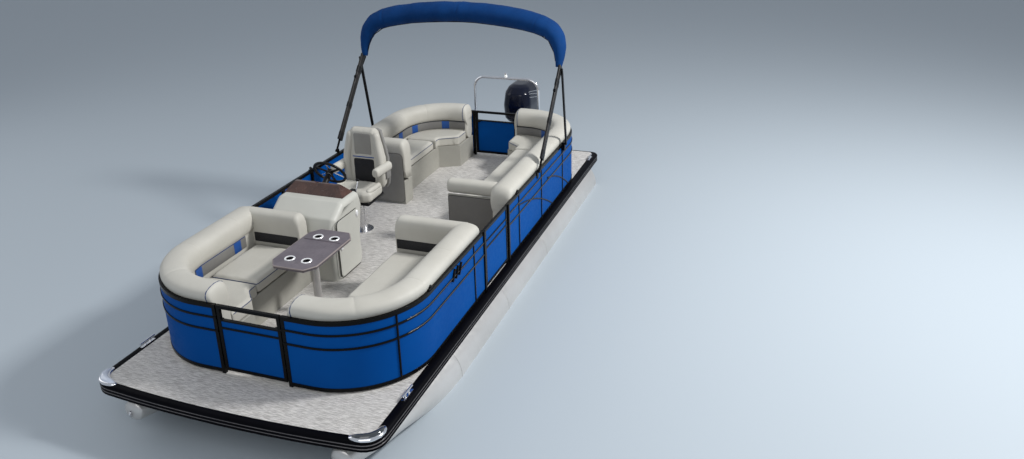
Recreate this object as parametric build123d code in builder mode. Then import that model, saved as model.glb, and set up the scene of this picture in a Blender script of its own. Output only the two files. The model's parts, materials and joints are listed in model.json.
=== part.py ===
from build123d import *
import math
import os

# A pontoon boat afloat. X points to the bow, Y to port, Z up, and Z = 0 is the waterline.
# Sizes in millimetres. The origin is amidships on the waterline.
# Heights named below are above the deck, unless they say otherwise.

# Hull and deck
deck_length = 6450
deck_half_width = 1250
deck_top = 450
deck_thickness = 22
bow_crown = 62
bow_corner_radius = 150
stern_corner_radius = 75

beam_height = 75
beam_count = 16
beam_width = 44
beam_wall = 5
beam_end_gap = 12
first_beam = 210

rail_proud = 45
rail_lip = 6
rail_lip_width = 42
bow_rail_length = 375
stern_rail_length = 175

tube_radius = 320
tube_outside_deck = 25
tube_wall = 12
riser_gap = 23
riser_offset = 115
riser_reach = 1060
keel_width = 30
keel_drop = 14
strake_angle = -38
strake_spread = 7
strake_proud = 42
stern_setback = 35
bow_setback = 75

# Fence: a rounded rectangle that stands on the deck
bow_deck_length = 435
stern_deck_length = 505
fence_setback = 15
fence_radius = 730
fence_height = 640
rail_size = 32
foot_height = 22
skin_setback = 4
skin_thickness = 4
strip_height = 18
strip_proud = 4
strip_drops = (113, 234)
arc_trim_width = 12

# Gates
gate_gap = 10
end_gate_half = 300
side_gate_front = 885
side_gate_back = 270
gate_lift = 45
gate_frame = 28
gate_hand_gap = 97
gate_strip_drop = 200
knuckle_radius = 7
knuckle_length = 36
knuckle_gap = 0.4
hinge_standoff = 8
hinge_heights = (130, 480)
latch_length = 70
latch_proud = 14
latch_height = 26
latch_drop = 2

# Lounges
wall_gap = 8
back_thickness = 205
back_rise = 105
base_top = 300
seat_gap = 0.4
seat_thickness = 125
lid_gap = 6
lid_overhang = 15
lid_corner_gap = 20
storage_wall = 25
storage_floor = 20
walkway_half = 335
end_overhang = 15
corner_turn = (640, 500)
chaise_back = 160
bolster_depth = 150
bolster_low = 120
bolster_rise = 275
bolster_flare = 300
back_reach = 180
end_arm_depth = 200
end_arm_rise = 140

# Helm
console_length = 510
console_front = 1150
console_port = -220
console_wall_gap = 275
console_height = 765
console_toe = 50
console_rake = 80
console_lip = 155
console_brow = 220
console_shoulder = (50, 115)
console_cheek = 235
console_round = 60
dash_height = 100
dash_depth = 200
dash_width = 660
dash_taper = 40
dash_round = 12
door_setback = 50
door_low = 40
door_high = 620
door_thickness = 18
barrel_radius = 6
barrel_length = 40
barrel_heights = (150, 470)
wheel_radius = 180
wheel_grip = 14
wheel_lean = 35
wheel_reach = 140
wheel_z = 882
wheel_hub = 38
hub_half = 25
column_radius = 28
column_length = 235
chair_reach = 690
chair_clear = 770
chair_foot = 115
chair_plate = 380
chair_width = 500
chair_back_top = 1140
arm_height = 745

# Table
table_x = 1640
table_y = -130
table_length = 780
table_width = 440
table_top_z = 620
table_thickness = 32
table_corner = (100, 70)
table_socket = 40
cup_radius = 41
cup_depth = 24
cup_pitch = (465, 170)

# Top frame, folded in its boot as an arch
mount_behind_gate = 970
mount_rise = 10
leg_clear = 22
leg_radius = 12.5
knee_run = 590
knee_rise = 750
boot_foot_run = 830
boot_foot_rise = 990
boot_lean = 15
boot_deep = 80
boot_tall = 95
boot_inset = 20
boot_shoulder = (65, 425)
boot_peak = 575
twin_offset = 42
twin_start = 0.22
strut_clear = 28
strut_radius = 9
strut_share = 0.8
strut_foot_run = 950
strut_foot_rise = 15

# Tow arch
arch_setback = 95
arch_half = 465
arch_height = 1000
arch_radius = 19
brace_run = 250
brace_top = 560
brace_radius = 14
tow_pin_radius = 12
tow_pin_length = 70

# Motor pod and outboard
pod_length = 775
pod_half = 260
pod_depth = 560
transom_setback = 275
transom_top = 20
transom_thickness = 218
clamp_inner = 110
clamp_outer = 128
clamp_drop = 180
tilt_setback = 45
tilt_z = 58
tilt_radius = 28
steer_setback = 190
steer_top = 105
steer_bottom = -290
cowl_low = 240
pan_low = 112
plate_z = -615
plate_thickness = 10
shaft_z = -830
case_length = 370
case_radius = 52
skeg_drop = 215
skeg_thickness = 14
blade_radius = 178
blade_pitch = 430
hub_radius = 50
hub_length = 115

deck_front = deck_length / 2
deck_back = -deck_length / 2
beam_bottom = -deck_thickness - beam_height
beam_pitch = (deck_length - 2 * first_beam) / (beam_count - 1)
tube_y = deck_half_width + tube_outside_deck - tube_radius
tube_z = beam_bottom - riser_gap - tube_radius
tube_back = deck_back + stern_setback
fence_front = deck_front - bow_deck_length
fence_back = deck_back + stern_deck_length
fence_half_width = deck_half_width - fence_setback
fence_mid_x = (fence_front + fence_back) / 2
fence_length = fence_front - fence_back
back_top = fence_height + back_rise
back_inset = rail_size + wall_gap
seat_inset = back_inset + back_thickness + lid_gap
back_outer = fence_half_width - back_inset
hinge_y = fence_half_width - seat_inset
seat_top = base_top + seat_thickness
console_back = console_front - console_length
console_starboard = -(fence_half_width - console_wall_gap)
console_top = deck_top + console_height
helm_y = (console_port + console_starboard) / 2 - 15
wheel_x = console_back - wheel_reach
chair_x = console_back - chair_reach
mount_x = side_gate_back - mount_behind_gate
mount_z = fence_height + mount_rise
leg_y = fence_half_width + leg_clear
strut_y = leg_y + strut_clear
arch_x = deck_back + arch_setback
transom_x = deck_back - transom_setback
tilt_x = transom_x - tilt_setback
steer_x = transom_x - steer_setback
far = 2 * deck_length

def block(x, y, z, mode=Mode.ADD):
    # a box from three pairs of limits, z above the deck
    with Locations(((x[0] + x[1]) / 2, (y[0] + y[1]) / 2, deck_top + (z[0] + z[1]) / 2)):
        Box(x[1] - x[0], y[1] - y[0], z[1] - z[0], mode=mode)


def fence_band(outer, inner, low, high, mode=Mode.ADD):
    # a closed band that follows the fence, between two insets
    with BuildSketch(Plane.XY.offset(deck_top + low), mode=Mode.PRIVATE) as plan:
        with Locations((fence_mid_x, 0)):
            for inset, how in ((outer, Mode.ADD), (inner, Mode.SUBTRACT)):
                RectangleRounded(
                    fence_length - 2 * inset,
                    2 * (fence_half_width - inset),
                    fence_radius - inset,
                    mode=how,
                )
    extrude(plan.sketch, amount=high - low, mode=mode)


def fence_plan(inset, corners, low, high, mode=Mode.ADD):
    # the part of the fence's inside, less an inset, that lies within an outline
    with BuildSketch(Plane.XY.offset(deck_top + low), mode=Mode.PRIVATE) as plan:
        with Locations((fence_mid_x, 0)):
            RectangleRounded(
                fence_length - 2 * inset, 2 * (fence_half_width - inset), fence_radius - inset
            )
        with BuildSketch(mode=Mode.PRIVATE) as region:
            with BuildLine():
                Polyline(*corners, close=True)
            make_face()
        add(region.sketch, mode=Mode.INTERSECT)
    extrude(plan.sketch, amount=high - low, mode=mode)


def deck_outline(inset):
    # the deck's edge moved in by an inset: a crowned bow and rounded corners
    half = deck_half_width - inset
    front = deck_front - inset
    back = deck_back + inset
    with BuildSketch(mode=Mode.PRIVATE) as outline:
        with BuildLine():
            ThreePointArc((front - bow_crown, -half), (front, 0), (front - bow_crown, half))
            Polyline((front - bow_crown, half), (back, half), (back, -half), (front - bow_crown, -half))
        make_face()
        ends = outline.vertices().group_by(Axis.X)
        fillet(ends[-1], bow_corner_radius - inset)
        fillet(ends[0], stern_corner_radius - inset)
    return outline.sketch


def rod(start, end, radius, mode=Mode.ADD):
    # a round bar between two points, z above the deck
    first = Vector(start[0], start[1], deck_top + start[2])
    span = Vector(end[0], end[1], deck_top + end[2]) - first
    with BuildSketch(Plane(origin=first, z_dir=span), mode=Mode.PRIVATE) as section:
        Circle(radius)
    extrude(section.sketch, amount=span.length, mode=mode)


os.makedirs("parts", exist_ok=True)


def save(piece, name):
    piece.part.label = name
    export_step(piece.part, f"parts/{name}.step")


# Pontoons: a barrel, a raked nose, two risers under the deck beams, a keel and lifting strakes
nose_sections = (
    # place along the nose, how much less the radius is, rise of the centre
    (0, 0, 0),
    (720, 30, 28),
    (1180, 105, 92),
    (1510, 225, 190),
)
nose_seam = deck_front - bow_setback - nose_sections[-1][0]
for side, name in ((1, "port_pontoon"), (-1, "starboard_pontoon")):
    centre = (side * tube_y, deck_top + tube_z)
    with BuildPart() as pontoon:
        with BuildSketch(Plane.YZ.offset(tube_back)):
            with Locations(centre):
                Circle(tube_radius)
        extrude(amount=nose_seam - tube_back)
        for start, end in zip(nose_sections, nose_sections[1:]):
            for along, less, rise in (start, end):
                with BuildSketch(Plane.YZ.offset(nose_seam + along)):
                    with Locations((centre[0], centre[1] + rise)):
                        Circle(tube_radius - less)
            loft()
        for offset in (-riser_offset, riser_offset):
            middle = side * tube_y + offset
            block(
                (tube_back, nose_seam + riser_reach),
                (middle - tube_wall / 2, middle + tube_wall / 2),
                (tube_z + tube_radius - 60, beam_bottom),
            )
        block(
            (tube_back + 60, nose_seam),
            (side * tube_y - keel_width / 2, side * tube_y + keel_width / 2),
            (tube_z - tube_radius - keel_drop, tube_z - tube_radius + 5),
        )
        with BuildSketch(Plane.YZ.offset(tube_back + 200)):
            with Locations(centre):
                for mirrored in (1, -1):
                    wedge = []
                    for angle, radius in (
                        (strake_angle - strake_spread, tube_radius - 4),
                        (strake_angle, tube_radius + strake_proud),
                        (strake_angle + strake_spread, tube_radius - 4),
                    ):
                        turned = math.radians(angle)
                        wedge.append((mirrored * radius * math.cos(turned), radius * math.sin(turned)))
                    Polygon(*wedge, align=None)
        extrude(amount=nose_seam - tube_back - 230)
    save(pontoon, name)

# Deck beams: open channels across the boat
with BuildPart() as beams:
    reach = deck_half_width - beam_end_gap
    for i in range(beam_count):
        beam_x = (i - (beam_count - 1) / 2) * beam_pitch
        block(
            (beam_x - beam_width / 2, beam_x + beam_width / 2),
            (-reach, reach),
            (beam_bottom, -deck_thickness),
        )
        block(
            (beam_x - beam_width / 2 + beam_wall, beam_x + beam_width / 2),
            (-reach, reach),
            (beam_bottom + beam_wall, -deck_thickness - beam_wall),
            mode=Mode.SUBTRACT,
        )
save(beams, "deck_beams")

with BuildPart() as deck:
    with BuildSketch(Plane.XY.offset(deck_top - deck_thickness)):
        add(deck_outline(0))
    extrude(amount=deck_thickness)
save(deck, "deck")

# Rub rail: ridged bands round the deck
rail_bands = (
    # bottom, top, how far it stands out
    (beam_bottom, -78, 34),
    (-78, -64, rail_proud),
    (-64, -36, 36),
    (-36, -22, rail_proud),
    (-22, 0, 38),
)
bow_rail_start = deck_front - bow_rail_length
stern_rail_end = deck_back + stern_rail_length
for name, limits in (
    ("rub_rail_bow", (bow_rail_start, far)),
    ("rub_rail_sides", (stern_rail_end, bow_rail_start)),
    ("rub_rail_stern", (-far, stern_rail_end)),
):
    with BuildPart() as rub_rail:
        for low, high, proud in rail_bands:
            with BuildSketch(Plane.XY.offset(deck_top + low)):
                add(deck_outline(-proud))
                add(deck_outline(0), mode=Mode.SUBTRACT)
            extrude(amount=high - low)
        with BuildSketch(Plane.XY.offset(deck_top)):
            add(deck_outline(-38))
            add(deck_outline(rail_lip_width), mode=Mode.SUBTRACT)
        extrude(amount=rail_lip)
        block(limits, (-far, far), (-far, far), mode=Mode.INTERSECT)
    save(rub_rail, name)

# Gates, each on a plane with its corner at the hinged foot: x along the gate, y up, z outward
end_gate_width = 2 * (end_gate_half - gate_gap)
side_gate_width = side_gate_front - side_gate_back - 2 * gate_gap
gate_face = 2
gates = {
    # name: corner at the hinged foot, direction along the gate, outward direction, width
    "bow_gate": (
        (fence_front - gate_face, gate_gap - end_gate_half, deck_top), (0, 1, 0), (1, 0, 0), end_gate_width
    ),
    "port_gate": (
        (side_gate_front - gate_gap, fence_half_width - gate_face, deck_top),
        (-1, 0, 0),
        (0, 1, 0),
        side_gate_width,
    ),
    "stern_gate": (
        (fence_back + gate_face, end_gate_half - gate_gap, deck_top), (0, -1, 0), (-1, 0, 0), end_gate_width
    ),
}
gate_panel_top = fence_height - gate_frame - gate_hand_gap
gate_strip = fence_height - gate_strip_drop
leaf = 6
hinge_u = -gate_gap / 2
hinge_w = -gate_frame - hinge_standoff


def slab(plane, u, v, w, mode=Mode.ADD):
    # a box on a gate's plane, from limits along it, up it and out of it
    with BuildSketch(plane.offset(w[0]), mode=Mode.PRIVATE) as face:
        with Locations(((u[0] + u[1]) / 2, (v[0] + v[1]) / 2)):
            Rectangle(u[1] - u[0], v[1] - v[0])
    extrude(face.sketch, amount=w[1] - w[0], mode=mode)


def knuckles(plane, low_end, reach):
    # barrels on the hinge line with a leaf towards the gate or the post
    axis = plane.from_local_coords((hinge_u, 0, hinge_w))
    for height in hinge_heights:
        low = height + low_end
        with BuildSketch(Plane((axis.X, axis.Y, deck_top + low)), mode=Mode.PRIVATE) as barrel:
            Circle(knuckle_radius)
        extrude(barrel.sketch, amount=knuckle_length)
        limits = sorted((hinge_u, hinge_u + reach))
        slab(plane, limits, (low, low + knuckle_length), (hinge_w, hinge_w + leaf))


for name, (corner, along, outward, width) in gates.items():
    plane = Plane(corner, along, outward)
    inside = (gate_frame, width - gate_frame)
    with BuildPart() as frame:
        slab(plane, (0, width), (gate_lift, fence_height), (-gate_frame, 0))
        for low, high in (
            (gate_lift + gate_frame, gate_panel_top - gate_frame / 2),
            (gate_panel_top, fence_height - gate_frame),
        ):
            slab(plane, inside, (low, high), (-gate_frame, 0), Mode.SUBTRACT)
        slab(plane, inside, (gate_strip - strip_height / 2, gate_strip + strip_height / 2), (-6, 0))
        knuckles(plane, 0, 40)
        for height in hinge_heights:
            slab(plane, (0, 36), (height, height + knuckle_length), (hinge_w + leaf, -gate_frame))
        slab(
            plane,
            (width - latch_length, width - 8),
            (gate_panel_top - latch_height, gate_panel_top - latch_drop),
            (-gate_frame - latch_proud, -gate_frame),
        )
    save(frame, f"{name}_frame")
    with BuildPart() as panel:
        slab(plane, inside, (gate_lift + gate_frame, gate_panel_top - gate_frame / 2), (-10, -6))
    save(panel, f"{name}_panel")

# Fence: rails, feet, posts and trim strips in one frame a side, with the skins let in
rail_rows = [
    # outer inset, inner inset, bottom, top
    (0, rail_size, foot_height, foot_height + rail_size),
    (0, rail_size, fence_height - rail_size, fence_height),
]
for drop in strip_drops:
    middle = fence_height - drop
    rail_rows.append((-strip_proud, skin_setback, middle - strip_height / 2, middle + strip_height / 2))
side_posts = (
    fence_front - 800,
    side_gate_front + 280,
    side_gate_back - 350,
    side_gate_back - 1110,
    fence_back + 1050,
)
helm_post = console_back - 160
skin_inner = fence_half_width - skin_setback - skin_thickness
post_inner = fence_half_width - rail_size
# trim that sweeps down the aft port side: start, middle and end, from the side gate's aft post
arc_trims = (
    ((-350, 500), (-1020, 310), (-1510, 54)),
    ((-1330, 440), (-1800, 280), (-2180, 54)),
)


def cut_gates(side, clear):
    # leaves out the gates' width, plus a margin, and the other half of the boat
    half = end_gate_half + clear
    above = (0, 2 * fence_height)
    for end in (fence_front, fence_back):
        block((end - 100, end + 100), (-half, half), above, mode=Mode.SUBTRACT)
    if side > 0:
        block(
            (side_gate_back - clear, side_gate_front + clear),
            (fence_half_width - 100, fence_half_width + 100),
            above,
            mode=Mode.SUBTRACT,
        )
    block((-far, far), sorted((0, -side * far)), (-far, far), mode=Mode.SUBTRACT)


for side, name in ((1, "port"), (-1, "starboard")):
    with BuildPart() as frame:
        for outer, inner, low, high in rail_rows:
            fence_band(outer, inner, low, high)
        cut_gates(side, 0)
        gate_posts = sorted((side * end_gate_half, side * (end_gate_half + rail_size)))
        for end in (fence_front - rail_size, fence_back):
            block((end, end + rail_size), gate_posts, (0, fence_height))
        for post_x in side_posts:
            block(
                (post_x - rail_size / 2, post_x + rail_size / 2),
                sorted((side * post_inner, side * skin_inner)),
                (rail_lip, fence_height),
            )
        if side > 0:
            for post_x in (side_gate_front, side_gate_back - rail_size):
                block((post_x, post_x + rail_size), (post_inner, fence_half_width), (rail_lip, fence_height))
            with BuildSketch(Plane.XZ.offset(skin_setback - fence_half_width)):
                with BuildLine():
                    for trim in arc_trims:
                        points = [(side_gate_back + x, deck_top + z) for x, z in trim]
                        ThreePointArc(*points)
                trace(line_width=arc_trim_width)
            extrude(amount=-skin_setback - strip_proud)
        else:
            block(
                (helm_post - rail_size / 2, helm_post + rail_size / 2),
                (-skin_inner, -post_inner),
                (rail_lip, fence_height),
            )
        for gate, (corner, along, outward, width) in gates.items():
            if (gate == "bow_gate") == (side < 0):
                knuckles(Plane(corner, along, outward), -knuckle_length - knuckle_gap, -40)
    save(frame, f"{name}_fence_frame")
    with BuildPart() as skin:
        fence_band(
            skin_setback,
            skin_setback + skin_thickness,
            foot_height + rail_size,
            fence_height - rail_size,
        )
        cut_gates(side, rail_size)
    save(skin, f"{name}_fence_panels")

# Lounges: a base with a storage well under a hinged seat, fixed cushions, and the hinged seat.
# Each runs from an end cushion along the side and round the corner to the gate at its end.
lounges = (
    # name, side, 1 to the bow or -1 to the stern, where the end cushion starts, its depth, inner edge,
    # bottom and top, the seat's inner edge beside it and further on, and how far the edge flares
    ("bow_port", 1, 1, side_gate_front + 40, chaise_back, 400, base_top, back_top, 400, 400, 0),
    ("bow_starboard", -1, 1, console_front + 20, chaise_back, 480, base_top, back_top, 480, 480, 0),
    (
        "aft_port", 1, -1, side_gate_back - 330, bolster_depth, 430,
        seat_top + bolster_low, seat_top + bolster_rise, 450, 530, bolster_flare,
    ),
    (
        "aft_starboard", -1, -1, chair_x - chair_clear, end_arm_depth, 440,
        base_top, fence_height + end_arm_rise, 590, 590, 0,
    ),
)
for name, side, toward, start, depth, end_edge, end_low, end_top, edge_near, edge_far, flare in lounges:
    fence_end = fence_front if toward > 0 else fence_back
    turn_near = fence_end - toward * corner_turn[0]
    turn_far = fence_end - toward * corner_turn[1]
    end = start + toward * depth
    lid_near = end + toward * lid_gap
    lid_far = fence_end - toward * (fence_radius + lid_corner_gap)
    flared = end + toward * flare
    inner_edge = [(start, side * edge_near), (end, side * edge_near)]
    lid_edge = [(lid_near, side * (edge_near - lid_overhang))]
    if flare:
        inner_edge.append((flared, side * edge_far))
        lid_edge.append((flared, side * (edge_far - lid_overhang)))
    lid_edge.append((lid_far, side * (edge_far - lid_overhang)))
    outline = (
        *inner_edge,
        (turn_near, side * edge_far),
        (turn_far, side * walkway_half),
        (toward * far, side * walkway_half),
        (toward * far, side * far),
        (start, side * far),
    )
    end_limits = sorted((start, end))
    well_edge = edge_far + storage_wall
    with BuildPart() as base:
        fence_plan(back_inset + 5, outline, 0, base_top)
        block(end_limits, sorted((side * (end_edge + end_overhang), side * (edge_near + 50))), (0, base_top))
        if end_low > base_top:
            end_wall = sorted((start, start + toward * storage_wall))
            block(end_wall, sorted((side * (end_edge + end_overhang), side * hinge_y)), (0, end_low))
            reach = sorted((start, start - toward * back_reach))
            block(reach, sorted((side * hinge_y, side * back_outer)), (0, base_top))
        block(
            sorted((lid_near + toward * storage_wall, lid_far - toward * storage_wall)),
            sorted((side * well_edge, side * (hinge_y - storage_wall))),
            (storage_floor, base_top),
            mode=Mode.SUBTRACT,
        )
    save(base, f"{name}_lounge_base")

    with BuildPart() as cushions:
        fence_plan(back_inset, outline, base_top, back_top)
        fence_plan(back_inset + back_thickness, outline, seat_top, back_top, mode=Mode.SUBTRACT)
        block(
            sorted((end, lid_far + toward * lid_gap)),
            sorted((0, side * (hinge_y + lid_gap))),
            (base_top, back_top),
            mode=Mode.SUBTRACT,
        )
        end_far = side * (fence_half_width - back_inset - back_thickness / 2)
        block(end_limits, sorted((side * end_edge, end_far)), (end_low, end_top))
        if end_low > base_top:
            block(end_wall, sorted((0, side * hinge_y)), (base_top, end_low), mode=Mode.SUBTRACT)
            block(reach, sorted((side * (hinge_y + lid_gap), side * back_outer)), (base_top, back_top))
            block(
                sorted((start + toward * storage_wall, end)),
                sorted((side * (end_edge + end_overhang), end_far)),
                (base_top, end_low),
            )
    save(cushions, f"{name}_lounge_backrest")

    with BuildPart() as seat:
        with BuildSketch(Plane.XY.offset(deck_top + base_top + seat_gap)):
            with BuildLine():
                Polyline(
                    *lid_edge,
                    (lid_far, side * hinge_y),
                    (lid_near, side * hinge_y),
                    close=True,
                )
            make_face()
        extrude(amount=seat_thickness - seat_gap)
    save(seat, f"{name}_lounge_seat")

# Helm console: a moulded shell with a storage space behind a side door, and the steering column
door_back = console_back + door_setback + 10
door_front = console_front - door_setback
door_wall = 25
hinge_x = door_back - barrel_radius
barrel_y = console_port + 11
wheel_axis = Vector(-math.cos(math.radians(wheel_lean)), 0, math.sin(math.radians(wheel_lean)))
wheel_centre = Vector(wheel_x, helm_y, wheel_z)


def along_wheel_axis(distance):
    point = wheel_centre + wheel_axis * distance
    return (point.X, point.Y, point.Z)


def door_barrels(low_end, x_limits, y_limits):
    for height in barrel_heights:
        low = height + low_end
        rod((hinge_x, barrel_y, low), (hinge_x, barrel_y, low + barrel_length), barrel_radius)
        block(x_limits, y_limits, (low, low + barrel_length))


with BuildPart() as console:
    with BuildSketch(Plane.XZ.offset(-console_port)) as profile:
        with BuildLine():
            Polyline(
                (console_back + console_toe, deck_top),
                (console_back - console_rake, console_top - console_lip),
                (console_back - console_rake / 2, console_top),
                (console_front - console_brow, console_top),
                (console_front - console_shoulder[0], console_top - console_shoulder[1]),
                (console_front, console_top - console_cheek),
                (console_front, deck_top),
                close=True,
            )
        make_face()
        fillet(profile.vertices().group_by(Axis.Y)[1:], console_round)
    extrude(amount=console_port - console_starboard)
    fillet(console.edges().filter_by(Axis.Z).group_by(Axis.X)[-1], console_round)
    block(
        (door_back + door_wall, door_front - door_wall),
        (console_starboard + 60, console_port),
        (door_low + door_wall, door_high - door_wall),
        mode=Mode.SUBTRACT,
    )
    rod(along_wheel_axis(-hub_half - 0.5), along_wheel_axis(-column_length), column_radius)
    door_barrels(
        -barrel_length - knuckle_gap, (hinge_x - barrel_radius, hinge_x + 3), (console_port - 4, barrel_y)
    )
save(console, "helm_console")

with BuildPart() as dash:
    with BuildSketch(Plane.XY.offset(console_top)):
        with Locations((console_back + dash_depth / 2, helm_y)):
            Rectangle(dash_depth, dash_width)
    extrude(amount=dash_height, taper=dash_taper)
    fillet(dash.edges().group_by(Axis.Z)[-1], dash_round)
    rod(
        along_wheel_axis(-hub_half),
        along_wheel_axis(-column_length - 5),
        column_radius + 0.5,
        mode=Mode.SUBTRACT,
    )
save(dash, "helm_dash")

with BuildPart() as door:
    with BuildSketch(Plane.XZ.offset(-console_port - 2)):
        with Locations(((door_back + 2 + door_front) / 2, deck_top + (door_low + door_high) / 2)):
            RectangleRounded(door_front - door_back - 2, door_high - door_low, 45)
    extrude(amount=-door_thickness)
    door_barrels(0, (hinge_x, hinge_x + 18), (console_port + 6, console_port + 16))
save(door, "console_door")

rim = wheel_radius - wheel_grip
with BuildPart(
    Plane(origin=(wheel_x, helm_y, deck_top + wheel_z), z_dir=wheel_axis, x_dir=(0, 1, 0))
) as wheel:
    Torus(rim, wheel_grip)
    Cylinder(wheel_hub, 2 * hub_half)
    with PolarLocations((rim + wheel_hub) / 2 - 4, 3, start_angle=90):
        Box(rim - wheel_hub + 12, 26, 10)
save(wheel, "steering_wheel")

# Helm chair: a fixed pedestal, a swivelling frame with arms, and its cushions
chair_half = chair_width / 2
with BuildPart() as pedestal:
    rod((chair_x, helm_y, 0), (chair_x, helm_y, 14), chair_foot)
    rod((chair_x, helm_y, 14), (chair_x, helm_y, chair_plate), 50)
save(pedestal, "helm_chair_pedestal")

with BuildPart() as chair:
    block(
        (chair_x - 260, chair_x + 210),
        (helm_y - chair_half + 50, helm_y + chair_half - 50),
        (chair_plate + 0.5, chair_plate + 38),
    )
    block(
        (chair_x - 280, chair_x - 260),
        (helm_y - chair_half + 25, helm_y + chair_half - 25),
        (chair_plate + 0.5, chair_back_top - 20),
    )
    for side in (-1, 1):
        arm = sorted((helm_y + side * (chair_half - 25), helm_y + side * (chair_half + 25)))
        block((chair_x - 280, chair_x + 60), arm, (arm_height - 45, arm_height))
    fillet(chair.edges().filter_by(Axis.Y).group_by(Axis.X)[-1], 12)
save(chair, "helm_chair_frame")

with BuildPart() as chair_cushions:
    block(
        (chair_x - 130, chair_x + 250),
        (helm_y - chair_half, helm_y + chair_half),
        (chair_plate + 38, chair_plate + 170),
    )
    block(
        (chair_x - 260, chair_x - 135),
        (helm_y - chair_half + 28, helm_y + chair_half - 28),
        (chair_plate + 38, chair_back_top),
    )
save(chair_cushions, "helm_chair_cushions")

# Table: a pedestal, and a top with four cup recesses that turns on it
table_under = table_top_z - table_thickness
table_points = [
    (across * (table_length / 2 - cut_x), along * (table_width / 2 - cut_y))
    for across, along, cuts in ((1, 1, 1), (-1, 1, 0), (-1, -1, 1), (1, -1, 0))
    for cut_x, cut_y in ((0, table_corner[1]), (table_corner[0], 0))[::2 * cuts - 1]
]
with BuildPart() as table_post:
    rod((table_x, table_y, 0), (table_x, table_y, 12), 150)
    rod((table_x, table_y, 12), (table_x, table_y, table_under - table_socket - 0.5), 36)
save(table_post, "table_pedestal")

with BuildPart() as table_top:
    with BuildSketch(Plane.XY.offset(deck_top + table_under)) as top_plan:
        with Locations((table_x, table_y)):
            Polygon(*table_points, align=None)
    extrude(amount=table_thickness)
    with BuildSketch(Plane.XY.offset(deck_top + table_top_z)):
        with Locations((table_x, table_y)):
            with GridLocations(*cup_pitch, 2, 2):
                Circle(cup_radius)
    extrude(amount=-cup_depth, mode=Mode.SUBTRACT)
    rod((table_x, table_y, table_under - table_socket), (table_x, table_y, table_under), 55)
save(table_top, "table_top")

# Top frame: brackets on the fence, twin tubed legs, the boot with the folded cloth, and the struts
knee = (mount_x - knee_run, mount_z + knee_rise)
boot_foot = (mount_x - boot_foot_run, mount_z + boot_foot_rise)
strut_top = [k + strut_share * (f - k) for k, f in zip(knee, boot_foot)]
strut_foot = (mount_x - strut_foot_run, fence_height + strut_foot_rise)
leg_run = math.hypot(knee_run, knee_rise)
twin = (-twin_offset * knee_rise / leg_run, -twin_offset * knee_run / leg_run)

with BuildPart() as mounts:
    for side in (-1, 1):
        for (x, z), face in (
            ((mount_x, mount_z), leg_y - leg_radius - 0.5),
            (strut_foot, strut_y - strut_radius - 1),
        ):
            block((x - 24, x + 24), sorted((side * fence_half_width, side * face)), (z - 80, z + 20))
save(mounts, "top_frame_brackets")

with BuildPart() as legs:
    for side in (-1, 1):
        y = side * leg_y
        clamp = (mount_x - twin_start * knee_run, mount_z + twin_start * knee_rise)
        knee_twin = (knee[0] + twin[0], knee[1] + twin[1])
        tubes = (
            # start, end
            ((mount_x, mount_z), knee),
            (knee, (boot_foot[0], boot_foot[1] - 0.3)),
            ((clamp[0] + twin[0], clamp[1] + twin[1]), knee_twin),
            (knee_twin, (boot_foot[0] + twin[0], boot_foot[1] - 50)),
            (clamp, (clamp[0] + twin[0], clamp[1] + twin[1])),
            (knee, knee_twin),
        )
        for start, end in tubes:
            rod((start[0], y, start[1]), (end[0], y, end[1]), leg_radius)
        for (x, z), radius in (((mount_x, mount_z), 17), (knee, 22)):
            rod((x, y - leg_radius, z), (x, y + leg_radius, z), radius)
save(legs, "top_frame_legs")

lean = math.radians(boot_lean)
boot_half = fence_half_width - boot_inset
shoulder = boot_half - boot_shoulder[0]
boot_plane = Plane(
    origin=(boot_foot[0], 0, deck_top + boot_foot[1]),
    x_dir=(0, 1, 0),
    z_dir=(math.cos(lean), 0, math.sin(lean)),
)
with BuildPart() as boot:
    with BuildLine(boot_plane) as arch:
        FilletPolyline(
            (-boot_half, 0),
            (-shoulder, boot_shoulder[1]),
            (0, boot_peak),
            (shoulder, boot_shoulder[1]),
            (boot_half, 0),
            radius=(260, 2600, 260),
        )
    with BuildSketch(Plane(origin=arch.line @ 0, z_dir=arch.line % 0, x_dir=boot_plane.z_dir)):
        Ellipse(boot_deep, boot_tall)
    sweep()
save(boot, "top_boot")

with BuildPart() as struts:
    for side in (-1, 1):
        y = side * strut_y
        inner = side * (leg_y + leg_radius + 0.5)
        outer = side * (strut_y + strut_radius + 2)
        rod((strut_top[0], y, strut_top[1]), (strut_foot[0], y, strut_foot[1]), strut_radius)
        rod((strut_top[0], inner, strut_top[1]), (strut_top[0], outer, strut_top[1]), 13)
        foot_inner = side * (strut_y - strut_radius - 0.5)
        rod((strut_foot[0], foot_inner, strut_foot[1]), (strut_foot[0], outer, strut_foot[1]), 13)
save(struts, "top_frame_struts")

# Tow arch: one bent tube with two braces, foot flanges and a tow pin
with BuildPart() as tow_arch:
    with BuildLine(Plane(origin=(arch_x, 0, deck_top), x_dir=(0, 1, 0), z_dir=(1, 0, 0))) as hoop:
        FilletPolyline(
            (-arch_half, 0), (-arch_half, arch_height), (arch_half, arch_height), (arch_half, 0), radius=150
        )
    with BuildSketch(Plane(origin=hoop.line @ 0, z_dir=hoop.line % 0)):
        Circle(arch_radius)
    sweep()
    for side in (-1, 1):
        y = side * arch_half
        rod((arch_x, y, brace_top), (arch_x + brace_run, y, 24), brace_radius)
        rod((arch_x + brace_run, y, 8), (arch_x + brace_run, y, 36), brace_radius + 5)
        for x in (arch_x, arch_x + brace_run):
            rod((x, y, 0), (x, y, 8), 42)
    rod((arch_x, 0, arch_height), (arch_x, 0, arch_height + tow_pin_length), tow_pin_radius)
    knob = arch_height + tow_pin_length - 10
    rod((arch_x, 0, knob), (arch_x, 0, knob + 12), 2 * tow_pin_radius)
save(tow_arch, "tow_arch")

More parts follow.
